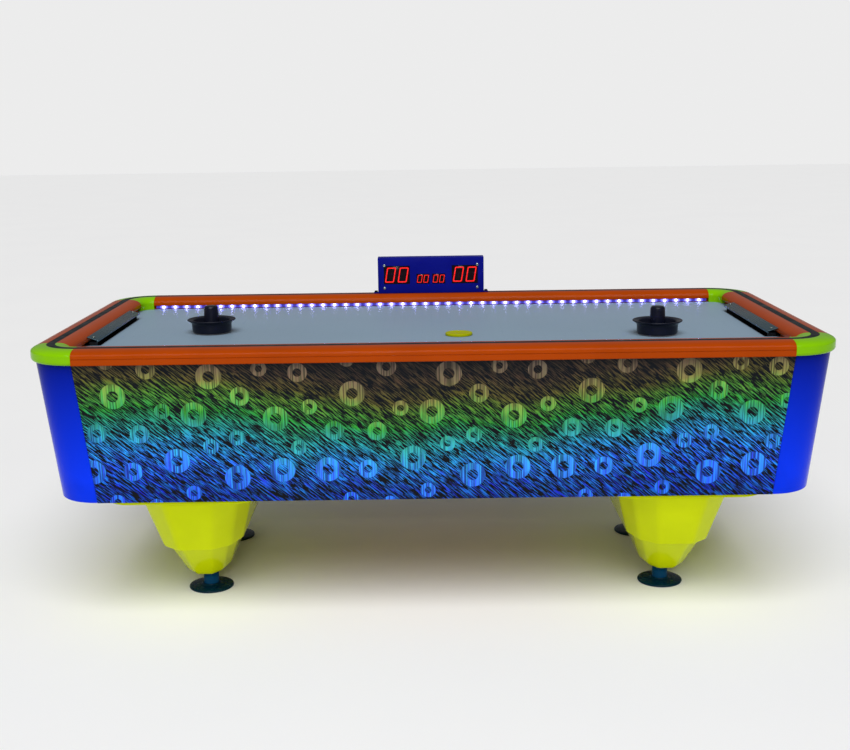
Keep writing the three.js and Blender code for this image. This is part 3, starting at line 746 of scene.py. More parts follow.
@dataclass(frozen=True)
class HoloPrint(Finish):
    """Dark board with a rainbow print: slanting strokes and striped rings."""

    across: Across = Across.LENGTH
    half: float = 0.8
    span: Flat = (0.3, 0.63)
    stroke_slant: float = 40.0
    arch: float = 0.17
    arch_width: float = 0.75
    lowered: float = 0.10
    repeat: float = 0.541
    seam: float = 0.0045
    ring_hole: float = 0.43

    def lay(self, recipe: Recipe) -> None:
        """Lay the rainbow, the strokes on it and the rings over both."""
        split = recipe.node("ShaderNodeSeparateXYZ")
        recipe.feed(split.inputs[0], recipe.place)
        along, height = split.outputs[self.across.value], split.outputs["Z"]
        plane = self.plane(recipe, along, height)
        rainbow, dim = self.rainbow(recipe, along, height)
        printed = self.strokes(recipe, plane, rainbow, dim)
        wrap = recipe.node("ShaderNodeMath", operation="WRAP")
        for socket, value in zip(wrap.inputs, (along, self.seam + self.repeat, self.seam)):
            recipe.feed(socket, value)
        share = self.nearest_ring(recipe, self.plane(recipe, wrap.outputs[0], height))
        printed = self.rings(recipe, plane, share, rainbow, printed)
        recipe.set(base_color=printed)
        film = recipe.noise(5, 4, plane)
        recipe.set(roughness=recipe.remap(film, MIDST, (0.24, 0.4)))
        recipe.set(specular_ior_level=0.1)
        recipe.bump(recipe.noise(700, 2), 0.04, 0.0003)

    @staticmethod
    def plane(recipe: Recipe, along: object, height: object) -> bpy.types.NodeSocket:
        """A place on the board as a flat vector."""
        node = recipe.node("ShaderNodeCombineXYZ")
        recipe.feed(node.inputs["X"], along)
        recipe.feed(node.inputs["Y"], height)
        return node.outputs[0]

    @staticmethod
    def nearest_ring(recipe: Recipe, place: object) -> bpy.types.NodeSocket:
        """Distance to the middle of the nearest ring, as a share of its radius.

        Args:
            recipe: the tree being laid out.
            place: place in one repeat of the print.

        Returns:
            the share.
        """
        nearest: object = 10.0
        for ring, places in RING_PLACES.items():
            for middle in places:
                distance = recipe.node("ShaderNodeVectorMath", operation="DISTANCE")
                recipe.feed(distance.inputs[0], place)
                distance.inputs[1].default_value = (*middle, 0)
                share = recipe.math("DIVIDE", distance.outputs["Value"], ring.value)
                nearest = recipe.math("MINIMUM", nearest, share)
        return nearest

    def rainbow(self, recipe: Recipe, along: object, height: object) -> tuple[object, object]:
        """Colour bands that run across the board and hang lower at its middle.

        Args:
            recipe: the tree being laid out.
            along: place along the board.
            height: place up the board.

        Returns:
            the colour, and how bright it is.
        """
        share = recipe.math("DIVIDE", along, self.half * self.arch_width)
        arch = recipe.math("SUBTRACT", 1.0, recipe.math("MULTIPLY", share, share), clamp=True)
        depth = recipe.remap(height, (self.span[1], self.span[0]))
        hang = recipe.math("ADD", recipe.math("MULTIPLY", arch, self.arch), self.lowered)
        band = recipe.math("SUBTRACT", depth, hang)
        drift = recipe.remap(recipe.noise(6, 2), MIDST, (-0.05, 0.05))
        band = recipe.remap(recipe.math("ADD", band, drift), (-self.arch - self.lowered, 0.94))
        stops = [
            (0.00, srgb(0x5E4C40)), (0.13, srgb(0x7A6644)), (0.22, srgb(0x848038)),
            (0.30, srgb(0x60B03C)), (0.38, srgb(0x36AE50)), (0.45, srgb(0x2CA488)),
            (0.51, srgb(0x2CA8B4)), (0.57, srgb(0x2C94DC)), (0.65, srgb(0x2C7CFF)),
            (0.74, srgb(0x2860FF)), (0.86, srgb(0x1C4CFF)), (1.00, srgb(0x1844FF)),
        ]
        dim = recipe.remap(depth, (0.75, 1.0), (1.0, 0.5))
        top = recipe.remap(band, (0.05, 0.5), (0.22, 1.0))
        return recipe.ramp(band, stops), recipe.math("MULTIPLY", dim, top)

    def strokes(self, recipe: Recipe, plane: object, rainbow: object, dim: object) -> object:
        """Dark slanting strokes with the rainbow between them.

        Args:
            recipe: the tree being laid out.
            plane: place on the board.
            rainbow: colour under the strokes.
            dim: brightness of that colour.

        Returns:
            the printed colour.
        """
        turned = recipe.warp(degrees=self.stroke_slant, vector=plane)
        broad = recipe.noise(1, 2, recipe.warp((24, 290, 1), vector=turned))
        fine = recipe.noise(1, 1, recipe.warp((40, 490, 5), vector=turned))
        body = recipe.math("ADD", recipe.math("MULTIPLY", broad, 0.5), recipe.math("MULTIPLY", fine, 0.5))
        gap = recipe.remap(body, (0.504, 0.522))
        streak = recipe.remap(
            recipe.noise(1, 2, recipe.warp((24, 230, 3), vector=turned)), (0.38, 0.58), (0.3, 1.0))
        light = recipe.math("MULTIPLY", recipe.math("MULTIPLY", gap, streak), dim)
        tint = recipe.node("ShaderNodeHueSaturation")
        shift = recipe.noise(1, 1, recipe.warp((24, 160, 9), vector=turned))
        recipe.feed(tint.inputs["Hue"], recipe.remap(shift, MIDST, (0.47, 0.51)))
        recipe.feed(tint.inputs["Color"], rainbow)
        return recipe.mix(light, self.colour, tint.outputs[0])

    def rings(self, recipe: Recipe, plane: object, share: object, rainbow: object, under: object) -> object:
        """Striped rings over the strokes.

        Args:
            recipe: the tree being laid out.
            plane: place on the board.
            share: distance to the nearest ring's middle as a share of its radius.
            rainbow: colour of the bands.
            under: what shows between the rings.

        Returns:
            the printed colour.
        """
        ring = recipe.math(
            "MULTIPLY",
            recipe.remap(share, (1.0, 0.95)),
            recipe.remap(share, (self.ring_hole - 0.03, self.ring_hole + 0.03)),
        )
        stripe = recipe.remap(
            recipe.noise(1, 2, recipe.warp((300, 4, 1), vector=plane)), (0.42, 0.54), (0.3, 1.0))
        fade = recipe.remap(recipe.noise(20, 1, plane), (0.34, 0.48), (0.7, 1.0))
        light = recipe.math("MULTIPLY", ring, recipe.math("MULTIPLY", stripe, fade))
        tint = recipe.node("ShaderNodeHueSaturation")
        recipe.feed(tint.inputs["Hue"], recipe.remap(
            recipe.noise(1, 1, recipe.warp((260, 3, 7), vector=plane)), (0.35, 0.65), (0.46, 0.515)))
        recipe.feed(tint.inputs["Color"], recipe.mix(0.03, rainbow, (0.5, 0.95, 0.9)))
        shade = recipe.mix(recipe.math("MULTIPLY", ring, 0.85), under, self.colour)
        return recipe.mix(light, shade, tint.outputs[0])


@dataclass(frozen=True)
class Laminate(Finish):
    """Smooth pale playing surface with a regular grid of air holes."""

    hole_pitch: float = 0.0254
    hole_radius: float = 0.0006

    def lay(self, recipe: Recipe) -> None:
        """Lay fine speckle, faint rub marks and the holes."""
        cells = recipe.cells(1 / self.hole_pitch, 0.0)
        edge = self.hole_radius / self.hole_pitch
        hole = recipe.remap(cells.outputs["Distance"], (edge * 1.15, edge * 0.85))
        speckle = recipe.remap(recipe.noise(1400, 2), (0.35, 0.65), (0.0, 0.12))
        cloud = recipe.remap(recipe.noise(2.2, 3), MIDST, (0.0, 0.16))
        shade = recipe.math("ADD", speckle, cloud)
        pale = recipe.mix(shade, self.colour, tuple(c * 0.6 for c in self.colour))
        recipe.set(base_color=recipe.mix(hole, pale, (0.012, 0.014, 0.02)))
        rub = recipe.noise(3, 3)
        recipe.set(roughness=recipe.remap(rub, MIDST, (0.42, 0.5)), specular_ior_level=0.2)
        recipe.bump(hole, 0.4, -0.001)


class Grain(Enum):
    """Direction of a brushed or sawn surface's lines, as scale along each axis."""

    LENGTH = (2.0, 160.0, 160.0)
    WIDTH = (160.0, 2.0, 160.0)


@dataclass(frozen=True)
class BrushedSteel(Finish):
    """Metal sheet with brushed lines."""

    grain: Grain = Grain.LENGTH
    roughness: float = 0.34

    def lay(self, recipe: Recipe) -> None:
        """Lay the lines in colour, roughness and height."""
        lines = recipe.noise(4, 3, recipe.warp(self.grain.value))
        shade = recipe.remap(lines, MIDST, (0.0, 0.4))
        dull = recipe.remap(recipe.noise(9, 3), (0.4, 0.7), (0.0, 0.35))
        worn = recipe.mix(shade, self.colour, tuple(c * 0.55 for c in self.colour))
        recipe.set(base_color=recipe.mix(dull, worn, tuple(c * 0.7 for c in self.colour)))
        spread = (self.roughness - 0.1, self.roughness + 0.12)
        recipe.set(metallic=0.92, roughness=recipe.remap(lines, MIDST, spread))
        recipe.bump(lines, 0.12, 0.0003)


@dataclass(frozen=True)
class SatinPaint(Finish):
    """Powder-coated or painted metal with a fine texture and dust-worn patches."""

    worn: Colour = (0.1, 0.1, 0.1)
    roughness: float = 0.4
    texture: float = 0.12
    specular: float = 0.18

    def lay(self, recipe: Recipe) -> None:
        """Lay the powder's texture and the paler patches."""
        patches = recipe.remap(recipe.noise(14, 4), (0.42, 0.72), (0.0, 0.35))
        grit = recipe.noise(1100, 2)
        speck = recipe.remap(grit, (0.6, 0.75), (0.0, 0.2))
        recipe.set(base_color=recipe.mix(speck, recipe.mix(patches, self.colour, self.worn), self.worn))
        spread = (self.roughness * 0.8, self.roughness * 1.3)
        recipe.set(roughness=recipe.remap(recipe.noise(40, 3), MIDST, spread))
        recipe.set(specular_ior_level=self.specular)
        recipe.bump(grit, self.texture, 0.0004)


@dataclass(frozen=True)
class GrainedPlastic(Finish):
    """Dark moulded plastic with a leather-like grain."""

    pale: Colour = (0.05, 0.055, 0.06)
    roughness: float = 0.42

    def lay(self, recipe: Recipe) -> None:
        """Lay the grain's cells and a slow variation of the tone."""
        grain = recipe.node("ShaderNodeTexVoronoi")
        recipe.feed(grain.inputs["Vector"], recipe.place)
        grain.inputs["Scale"].default_value = 900
        tone = recipe.remap(recipe.noise(18, 3), (0.35, 0.7), (0.0, 0.6))
        recipe.set(base_color=recipe.mix(tone, self.colour, self.pale))
        spread = (self.roughness - 0.08, self.roughness + 0.12)
        recipe.set(roughness=recipe.remap(recipe.noise(60, 2), MIDST, spread), specular_ior_level=0.3)
        recipe.bump(grain.outputs["Distance"], 0.12, 0.0003)


@dataclass(frozen=True)
class Chipboard(Finish):
    """Raw pressed board with coarse and fine chips."""

    dark: Colour = (0.2, 0.12, 0.06)

    def lay(self, recipe: Recipe) -> None:
        """Lay chips of two sizes."""
        chips = recipe.node("ShaderNodeTexVoronoi")
        recipe.feed(chips.inputs["Vector"], recipe.warp((160, 260, 260)))
        chips.inputs["Scale"].default_value = 1
        tone = recipe.node("ShaderNodeSeparateColor")
        recipe.feed(tone.inputs[0], chips.outputs["Color"])
        fine = recipe.remap(recipe.noise(500, 3), MIDST, (0.0, 0.4))
        share = recipe.math("MULTIPLY", recipe.math("ADD", tone.outputs[0], fine), 0.6, clamp=True)
        recipe.set(base_color=recipe.mix(share, self.colour, self.dark), roughness=0.78)
        recipe.bump(chips.outputs["Distance"], 0.2, 0.0005)


@dataclass(frozen=True)
class Felt(Finish):
    """Short dense felt."""

    pale: Colour = (0.09, 0.09, 0.1)

    def lay(self, recipe: Recipe) -> None:
        """Lay tangled fibres."""
        fibres = recipe.noise(1500, 4)
        share = recipe.remap(fibres, (0.35, 0.65))
        recipe.set(base_color=recipe.mix(share, self.colour, self.pale), roughness=0.95, sheen_weight=0.3)
        recipe.bump(fibres, 0.5, 0.0006)


@dataclass(frozen=True)
class Glow(Finish):
    """A lit surface: lamp, light strip or digit."""

    light: Colour = (1.0, 1.0, 1.0)
    strength: float = 4.0

    def lay(self, recipe: Recipe) -> None:
        """Lay a slightly uneven base under an even light."""
        cloud = recipe.remap(recipe.noise(300, 2), MIDST, (0.0, 0.4))
        recipe.set(base_color=recipe.mix(cloud, self.colour, self.light), roughness=0.3)
        recipe.set(emission_color=self.light, emission_strength=self.strength)


@dataclass(frozen=True)
class LampStrip(Finish):
    """Violet strip that is brightest round each of its lamps."""

    light: Colour = (0.1, 0.07, 1.0)
    near: Colour = (0.55, 0.55, 1.0)
    pitch: float = 0.0333
    faint: float = 0.25
    strong: float = 2.4

    def lay(self, recipe: Recipe) -> None:
        """Lay a halo round each lamp along the strip."""
        split = recipe.node("ShaderNodeSeparateXYZ")
        recipe.feed(split.inputs[0], recipe.place)
        swing = recipe.math("PINGPONG", split.outputs["X"], self.pitch / 2)
        halo = recipe.remap(swing, (0.1 * self.pitch, 0.5 * self.pitch))
        recipe.set(base_color=recipe.mix(halo, self.colour, self.light), roughness=0.4)
        recipe.set(emission_color=recipe.mix(halo, self.light, self.near))
        recipe.set(emission_strength=recipe.remap(halo, (0, 1), (self.faint, self.strong)))


@dataclass(frozen=True)
class SmokedWindow(Finish):
    """Dark glossy display window with a faint weave of unlit segments behind it."""

    def lay(self, recipe: Recipe) -> None:
        """Lay the weave and the gloss."""
        weave = recipe.node("ShaderNodeTexChecker")
        recipe.feed(weave.inputs["Vector"], recipe.place)
        weave.inputs["Scale"].default_value = 900
        recipe.set(base_color=recipe.mix(weave.outputs["Fac"], self.colour, (0.012, 0.004, 0.006)))
        recipe.set(roughness=recipe.remap(recipe.noise(30, 2), MIDST, (0.1, 0.2)))
        recipe.set(specular_ior_level=0.1)


ORANGE = GlossPlastic("rail_orange", srgb(0xA43E02), deep=srgb(0x802C00), roughness=0.12, specular=0.05)
LIME = GlossPlastic("corner_lime", srgb(0x7EBA04), deep=srgb(0x5C8E04), roughness=0.12)
# painted shade on the posts: deep navy at the top, where the rim shades them, full blue towards the foot
BLUE = GlossPlastic("post_blue", srgb(0x0A38F4), deep=srgb(0x04147E), span=(0.64, 0.34), specular=0.03)
YELLOW = GlossPlastic("pedestal_yellow", srgb(0xD2E004), deep=srgb(0xA8B800), roughness=0.1, specular=0.05)
PUCK = GlossPlastic("puck_yellow", srgb(0xA4AA04), deep=srgb(0x7E8400), roughness=0.3, specular=0.03)
NAVY = SatinPaint("score_navy", srgb(0x060D78), worn=srgb(0x0C1684), roughness=0.38, specular=0.05)
TEAL = SatinPaint(
    "foot_teal", srgb(0x042430), worn=srgb(0x063A54), roughness=0.26, texture=0.05, specular=0.08)
STEM_BLUE = SatinPaint(
    "stem_blue", srgb(0x04446C), worn=srgb(0x052E48), roughness=0.28, texture=0.05, specular=0.06)
TRIM = SatinPaint("trim_black", srgb(0x12181C), worn=srgb(0x20282E), roughness=0.45)
BLACK = GrainedPlastic("black_plastic", srgb(0x080A0E), pale=srgb(0x14181E))
MALLET = GlossPlastic("mallet_black", srgb(0x0C1020), deep=srgb(0x050609), roughness=0.3, specular=0.2)
FIELD = Laminate("field_laminate", srgb(0x869CAE))
STEEL = BrushedSteel("bare_steel", srgb(0x9AA2A8))
COVER = BrushedSteel("goal_cover_steel", srgb(0x66828E), grain=Grain.WIDTH, roughness=0.3)
SCREW = BrushedSteel("screw_steel", srgb(0x9AA6A0), roughness=0.25)
WOOD = Chipboard("raw_board", srgb(0xB8935E))
FELT = Felt("sole_felt", srgb(0x2A2C32))
LAMP = Glow("lamp_white", (0.9, 0.92, 1.0), light=(0.42, 0.42, 1.0), strength=20.0)
STRIP = LampStrip("strip_violet", (0.06, 0.05, 0.4))
DIGIT = Glow("digit_red", (0.2, 0.002, 0.001), light=(1.0, 0.004, 0.003), strength=0.9)
WINDOW = SmokedWindow("display_window", (0.004, 0.003, 0.005))


def dress_node(node: str, finish: Finish) -> None:
    """Keep a frame node and give it a better finish.

    Args:
        node: the frame node.
        finish: what it is dressed in.
    """
    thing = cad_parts[node]
    thing.data.materials.clear()
    thing.data.materials.append(finish.material())
    LOG.info("%s: frame node in %s", node, finish.name)


# ---------- rim ----------
@dataclass
class Rim:
    """Padded rim: four rails, four corner castings and the band let into the crown."""

    width: float = 0.090
    corner_radius: float = 0.120
    corner_steps: int = 28
    shoulder: Flat = (0.035, 0.013)
    trim_offset: float = 0.036
    trim_width: float = 0.020
    trim_depth: float = 0.0015
    crown_flat: float = 0.004
    lip_drop: float = 0.018
    lip_thickness: float = 0.0055
    lip_chamfer: float = 0.002
    recess: float = 0.010
    seat: float = 0.066
    groove_rise: float = 0.0145
    groove: Flat = (0.0014, 0.0012)
    rail_edge: float = 0.0025
    casting_edge: float = 0.008
    relief_half: float = 0.2093
    relief_drop: float = 0.02
    crown: float = field(init=False)
    foot: float = field(init=False)
    seat_level: float = field(init=False)
    outer: Flat = field(init=False)
    straight: Flat = field(init=False)

    def __post_init__(self) -> None:
        """Take the rim's outer size and levels from the frame."""
        low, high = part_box("rim_corner_back_right")
        self.crown, self.foot = high.z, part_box("rail_front")[0].z
        self.seat_level = low.z
        self.outer = (high.x, high.y)
        self.straight = (high.x - self.corner_radius - GAP, high.y - self.corner_radius - GAP)

    def crown_line(self, edge: float, grooved: bool) -> list[Flat]:
        """The section from the outer foot over the crown to the inner lip.

        Args:
            edge: rounding of the outer foot.
            grooved: whether a fine groove runs round the outer face.

        Returns:
            distance in from the outer face and height of each point.
        """
        depth, half = self.groove
        middle = self.foot + self.groove_rise
        groove = [(x, middle + z) for x, z in arc((0, 0), (depth, half), -90, 90, 6)] if grooved else []
        end = self.trim_offset + self.trim_width + self.crown_flat
        floor = self.crown - self.trim_depth
        reach, drop = self.shoulder
        return [
            *arc((edge, self.foot + edge), (edge, edge), 270, 180, 6),
            *groove,
            *arc((reach, self.crown - drop), (reach, drop), 180, 90, 14),
            (self.trim_offset, self.crown), (self.trim_offset, floor),
            (self.trim_offset + self.trim_width, floor), (self.trim_offset + self.trim_width, self.crown),
            *arc((end, self.crown - self.lip_drop), (self.width - end, self.lip_drop), 90, 0, 14),
        ]

    def rail_section(self) -> list[Flat]:
        """The rail's whole section, with the light recess under its lip."""
        under = self.crown - self.lip_drop - self.lip_thickness
        wall = self.width - self.recess
        lip = (self.width - self.lip_chamfer, under + self.lip_chamfer)
        seat = [(wall, under), (wall, self.seat_level), (self.seat, self.seat_level), (self.seat, self.foot)]
        crown = self.crown_line(self.rail_edge, True)
        return [*crown, *arc(lip, (self.lip_chamfer,) * 2, 0, -90, 4), *seat]

    def rail(self, name: str, half: float) -> Piece:
        """A rail along X, its outer face on y = 0.

        Args:
            name: the piece's name.
            half: half of its length.

        Returns:
            the rail.
        """
        return Piece.drawn(name, [(-half, u, z) for u, z in self.rail_section()]).pull((2 * half, 0, 0))

    def build(self) -> None:
        """Make the rails, the castings and the band."""
        x, y = self.outer
        front = self.rail("rail_front_moulding", self.straight[0]).move((0, -y, 0))
        back = front.copy("rail_back_moulding").turn(180, Axis.Z)
        right = self.rail("rail_right_moulding", self.straight[1]).turn(90, Axis.Z).move((x, 0, 0))
        under = self.crown - self.lip_drop - self.lip_thickness
        half = self.relief_half
        low = (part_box("goal_box_right")[0].x, -half, self.seat_level - self.relief_drop)
        high = (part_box("goal_box_right")[1].x + GAP, half, under)
        right.cut(Piece.block("relief", low, high))
        left = right.copy("rail_left_moulding").turn(180, Axis.Z)
        for rail, side in ((front, "front"), (back, "back"), (right, "right"), (left, "left")):
            rail.dress(ORANGE).mount("table", "rim_orange", f"rail_{side}")
        section = [
            *self.crown_line(self.casting_edge, False),
            (self.width, self.seat_level), (self.seat, self.seat_level), (self.seat, self.foot),
        ]
        radius = self.corner_radius
        centre = (x - radius, y - radius, 0)
        corner = Piece.drawn("corner", [(centre[0] + radius - u, centre[1], z) for u, z in section])
        corner.spin(centre, 90, self.corner_steps)
        for name, sides in CORNERS.items():
            casting = corner.copy(f"casting_{name}").mirror((*sides, 1))
            casting.dress(LIME).mount("table", "rim_lime", f"rim_corner_{name}")
        bpy.data.objects.remove(corner.thing)
        self.band()

    def band(self) -> None:
        """Make the dark band that lies in the groove of the crown."""
        inset = self.trim_offset + GAP
        floor = self.crown - self.trim_depth + GAP
        outline = rounded_rectangle(
            (self.outer[0] - inset, self.outer[1] - inset), self.corner_radius - inset, self.corner_steps)
        band = Piece.drawn("crown_band", [(px, py, floor) for px, py in outline])
        with band.editing():
            bpy.ops.mesh.inset(thickness=self.trim_width - 2 * GAP, use_even_offset=True)
            bpy.ops.mesh.delete(type="FACE")
        band.pull((0, 0, self.trim_depth - GAP)).bevel(0.0004, 2)
        band.dress(TRIM).mount("table", "trim_black", "rim_trim")


# ---------- cabinet ----------
@dataclass
class Cabinet:
    """Printed boards between four blue corner posts, on a base board."""

    corner_radius: float = 0.106
    wall: float = 0.012
    edge: float = 0.002

    def post(self) -> Piece:
        """The back right corner post, leaning in towards its foot."""
        low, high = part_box("corner_post_back_right")
        radius = self.corner_radius
        centre = (high.x - radius, high.y - radius)
        inner = radius - self.wall
        outline = [*arc(centre, (radius, radius), 0, 90, 24), *arc(centre, (inner, inner), 90, 0, 24)]
        lean = centre[0] - low.x
        foot = Piece.drawn("post", [(x, y, high.z) for x, y in outline])
        return foot.pull((-lean, -lean, low.z - high.z)).bevel(self.edge, 3, above=50)

    def build(self) -> None:
        """Make the posts and dress the boards."""
        post = self.post()
        for name, sides in CORNERS.items():
            piece = post.copy(f"post_{name}").mirror((*sides, 1))
            piece.dress(BLUE).mount("table", "post_blue", f"corner_post_{name}")
        bpy.data.objects.remove(post.thing)
        for node in ("front_panel", "back_panel", "end_panel_left", "end_panel_right", "service_door"):
            dress_node(node, self.printing(node))
        for node in ("base_board", "cross_frame"):
            dress_node(node, WOOD)

    @staticmethod
    def printing(node: str) -> HoloPrint:
        """The print of a board, laid out along its longer side."""
        ends = node.startswith("end")
        low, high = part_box("end_panel_left" if ends else "front_panel")
        across = Across.WIDTH if ends else Across.LENGTH
        half = high.y if ends else high.x
        name = "print_ends" if ends else "print_sides"
        return HoloPrint(name, srgb(0x0A0E14), across=across, half=half, span=(low.z, high.z))


# ---------- playfield ----------
@dataclass
class Playfield:
    """Laminate board, light strips under the rim, and the air chamber below."""

    lamp_pitch: float = 0.0333
    lamp_size: float = 0.005
    lamp_height: float = 0.0014
    lamp_rim: float = 0.18  # share of the lamp's side
    lamp_dip: float = 0.3  # share of its height

    def lamps(self, side: str) -> Piece:
        """A row of square lamps on one light strip.

        Args:
            side: front or back.

        Returns:
            the row.
        """
        low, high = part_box(f"led_strip_{side}")
        inwards = 1 if side == "front" else -1
        face = high.y if side == "front" else low.y
        count = int((high.x - low.x) / self.lamp_pitch)
        start = -(count - 1) * self.lamp_pitch / 2
        half, middle = self.lamp_size / 2, (low.z + high.z) / 2
        ends = sorted((face, face + inwards * self.lamp_height))
        lamp = Piece.block(
            f"lamps_{side}", (start - half, ends[0], middle - half), (start + half, ends[1], middle + half))
        with lamp.editing(lambda centre, normal: normal.y * inwards > 0.9):
            bpy.ops.mesh.inset(
                thickness=self.lamp_size * self.lamp_rim, depth=-self.lamp_height * self.lamp_dip)
        return lamp.apply("ARRAY", count=count, use_relative_offset=False, use_constant_offset=True,
                          constant_offset_displace=(self.lamp_pitch, 0, 0))

    def build(self) -> None:
        """Dress the board and the chamber, and make the lamps."""
        dress_node("playfield", FIELD)
        dress_node("plenum_tray", WOOD)
        for side in ENDS:
            dress_node(f"led_strip_{side}", STRIP)
            self.lamps(side).dress(LAMP).mount("table", "light_white")
        for node in ("blower_motor", "blower_impeller", "control_box"):
            dress_node(node, STEEL)
        dress_node("blower_housing", BLACK)


# ---------- goals ----------
@dataclass
class Goals:
    """Sheet covers over the goal slots, puck boxes and return openings."""

    sheet: float = 0.0016
    hem: float = 0.0022
    slope: float = 0.007
    bend: Flat = (0.004, 0.0012)  # from the front roll back to where the slope starts
    roll_end: float = 290.0
    screw: Flat = (0.0042, 0.0022)
    screw_inset: float = 0.016
    screw_share: float = 0.52  # of the way from the cover's front to its back
    screw_lift: float = 0.0002
    sheet_edge: float = 0.0003
    bezel_edge: float = 0.0012

    def cover(self) -> Piece:
        """The right-hand cover: a sloping sheet with a rolled front edge."""
        low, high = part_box("goal_cover_right")
        top = high.z - self.sheet
        tip = (low.x + self.hem + self.sheet / 2, top - self.slope)
        roll = arc((tip[0], tip[1] - self.hem), (self.hem, self.hem), 90, self.roll_end, 12)
        line = [(high.x, top), (tip[0] + self.bend[0], tip[1] + self.bend[1]), *roll]
        cover = Piece.drawn("cover", [(x, low.y, z) for x, z in line], closed=False)
        with cover.editing(vertices=True):
            bpy.ops.mesh.extrude_region_move(TRANSFORM_OT_translate={"value": (0, high.y - low.y, 0)})
        cover.apply("SOLIDIFY", thickness=self.sheet, offset=0.0)
        return cover.clean().bevel(self.sheet_edge, 2, above=60)

    def screws(self) -> Piece:
        """Button-head screws near both ends of the right-hand cover."""
        low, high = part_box("goal_cover_right")
        x = low.x + (high.x - low.x) * self.screw_share
        made = []
        for y in (low.y + self.screw_inset, high.y - self.screw_inset):
            head = button_screw("screw", *self.screw)
            made.append(head.move((x, y, high.z - self.slope * self.screw_share + self.screw_lift)))
        return made[0].join(made[1])

    def build(self) -> None:
        """Make both covers and their screws, and dress the boxes."""
        right, screws = self.cover(), self.screws()
        for side, sx in zip(SIDES, (-1, 1)):
            cover = right.copy(f"cover_sheet_{side}").mirror((sx, 1, 1))
            cover.dress(COVER).mount("table", "bare_steel", f"goal_cover_{side}")
            heads = screws.copy(f"cover_screws_{side}").mirror((sx, 1, 1))
            heads.dress(SCREW).mount("table", "bare_steel")
            dress_node(f"goal_box_{side}", BLACK)
            bezel = Piece.of_node(f"return_bezel_{side}", f"return_frame_{side}").bevel(self.bezel_edge, 3)
            bezel.dress(BLACK).mount("table", "black_plastic", f"return_bezel_{side}")
        for piece in (right, screws):
            bpy.data.objects.remove(piece.thing)


def button_screw(name: str, radius: float, height: float) -> Piece:
    """A round-headed screw with a cross recess, its seat on z = 0.

    Args:
        name: the piece's name.
        radius: radius of the head.
        height: height of the head.

    Returns:
        the screw head.
    """
    dome = [(0, 0), (radius, 0), *arc((0, 0.0004), (radius, height - 0.0004), 0, 90, 6)]
    head = Piece.turned(name, dome, (0, 0, 0), 24)
    slot, reach = radius * 0.16, radius * 0.6
    for x, y in ((slot, reach), (reach, slot)):
        head.cut(Piece.block("recess", (-x, -y, height * 0.5), (x, y, height * 2)))
    return head


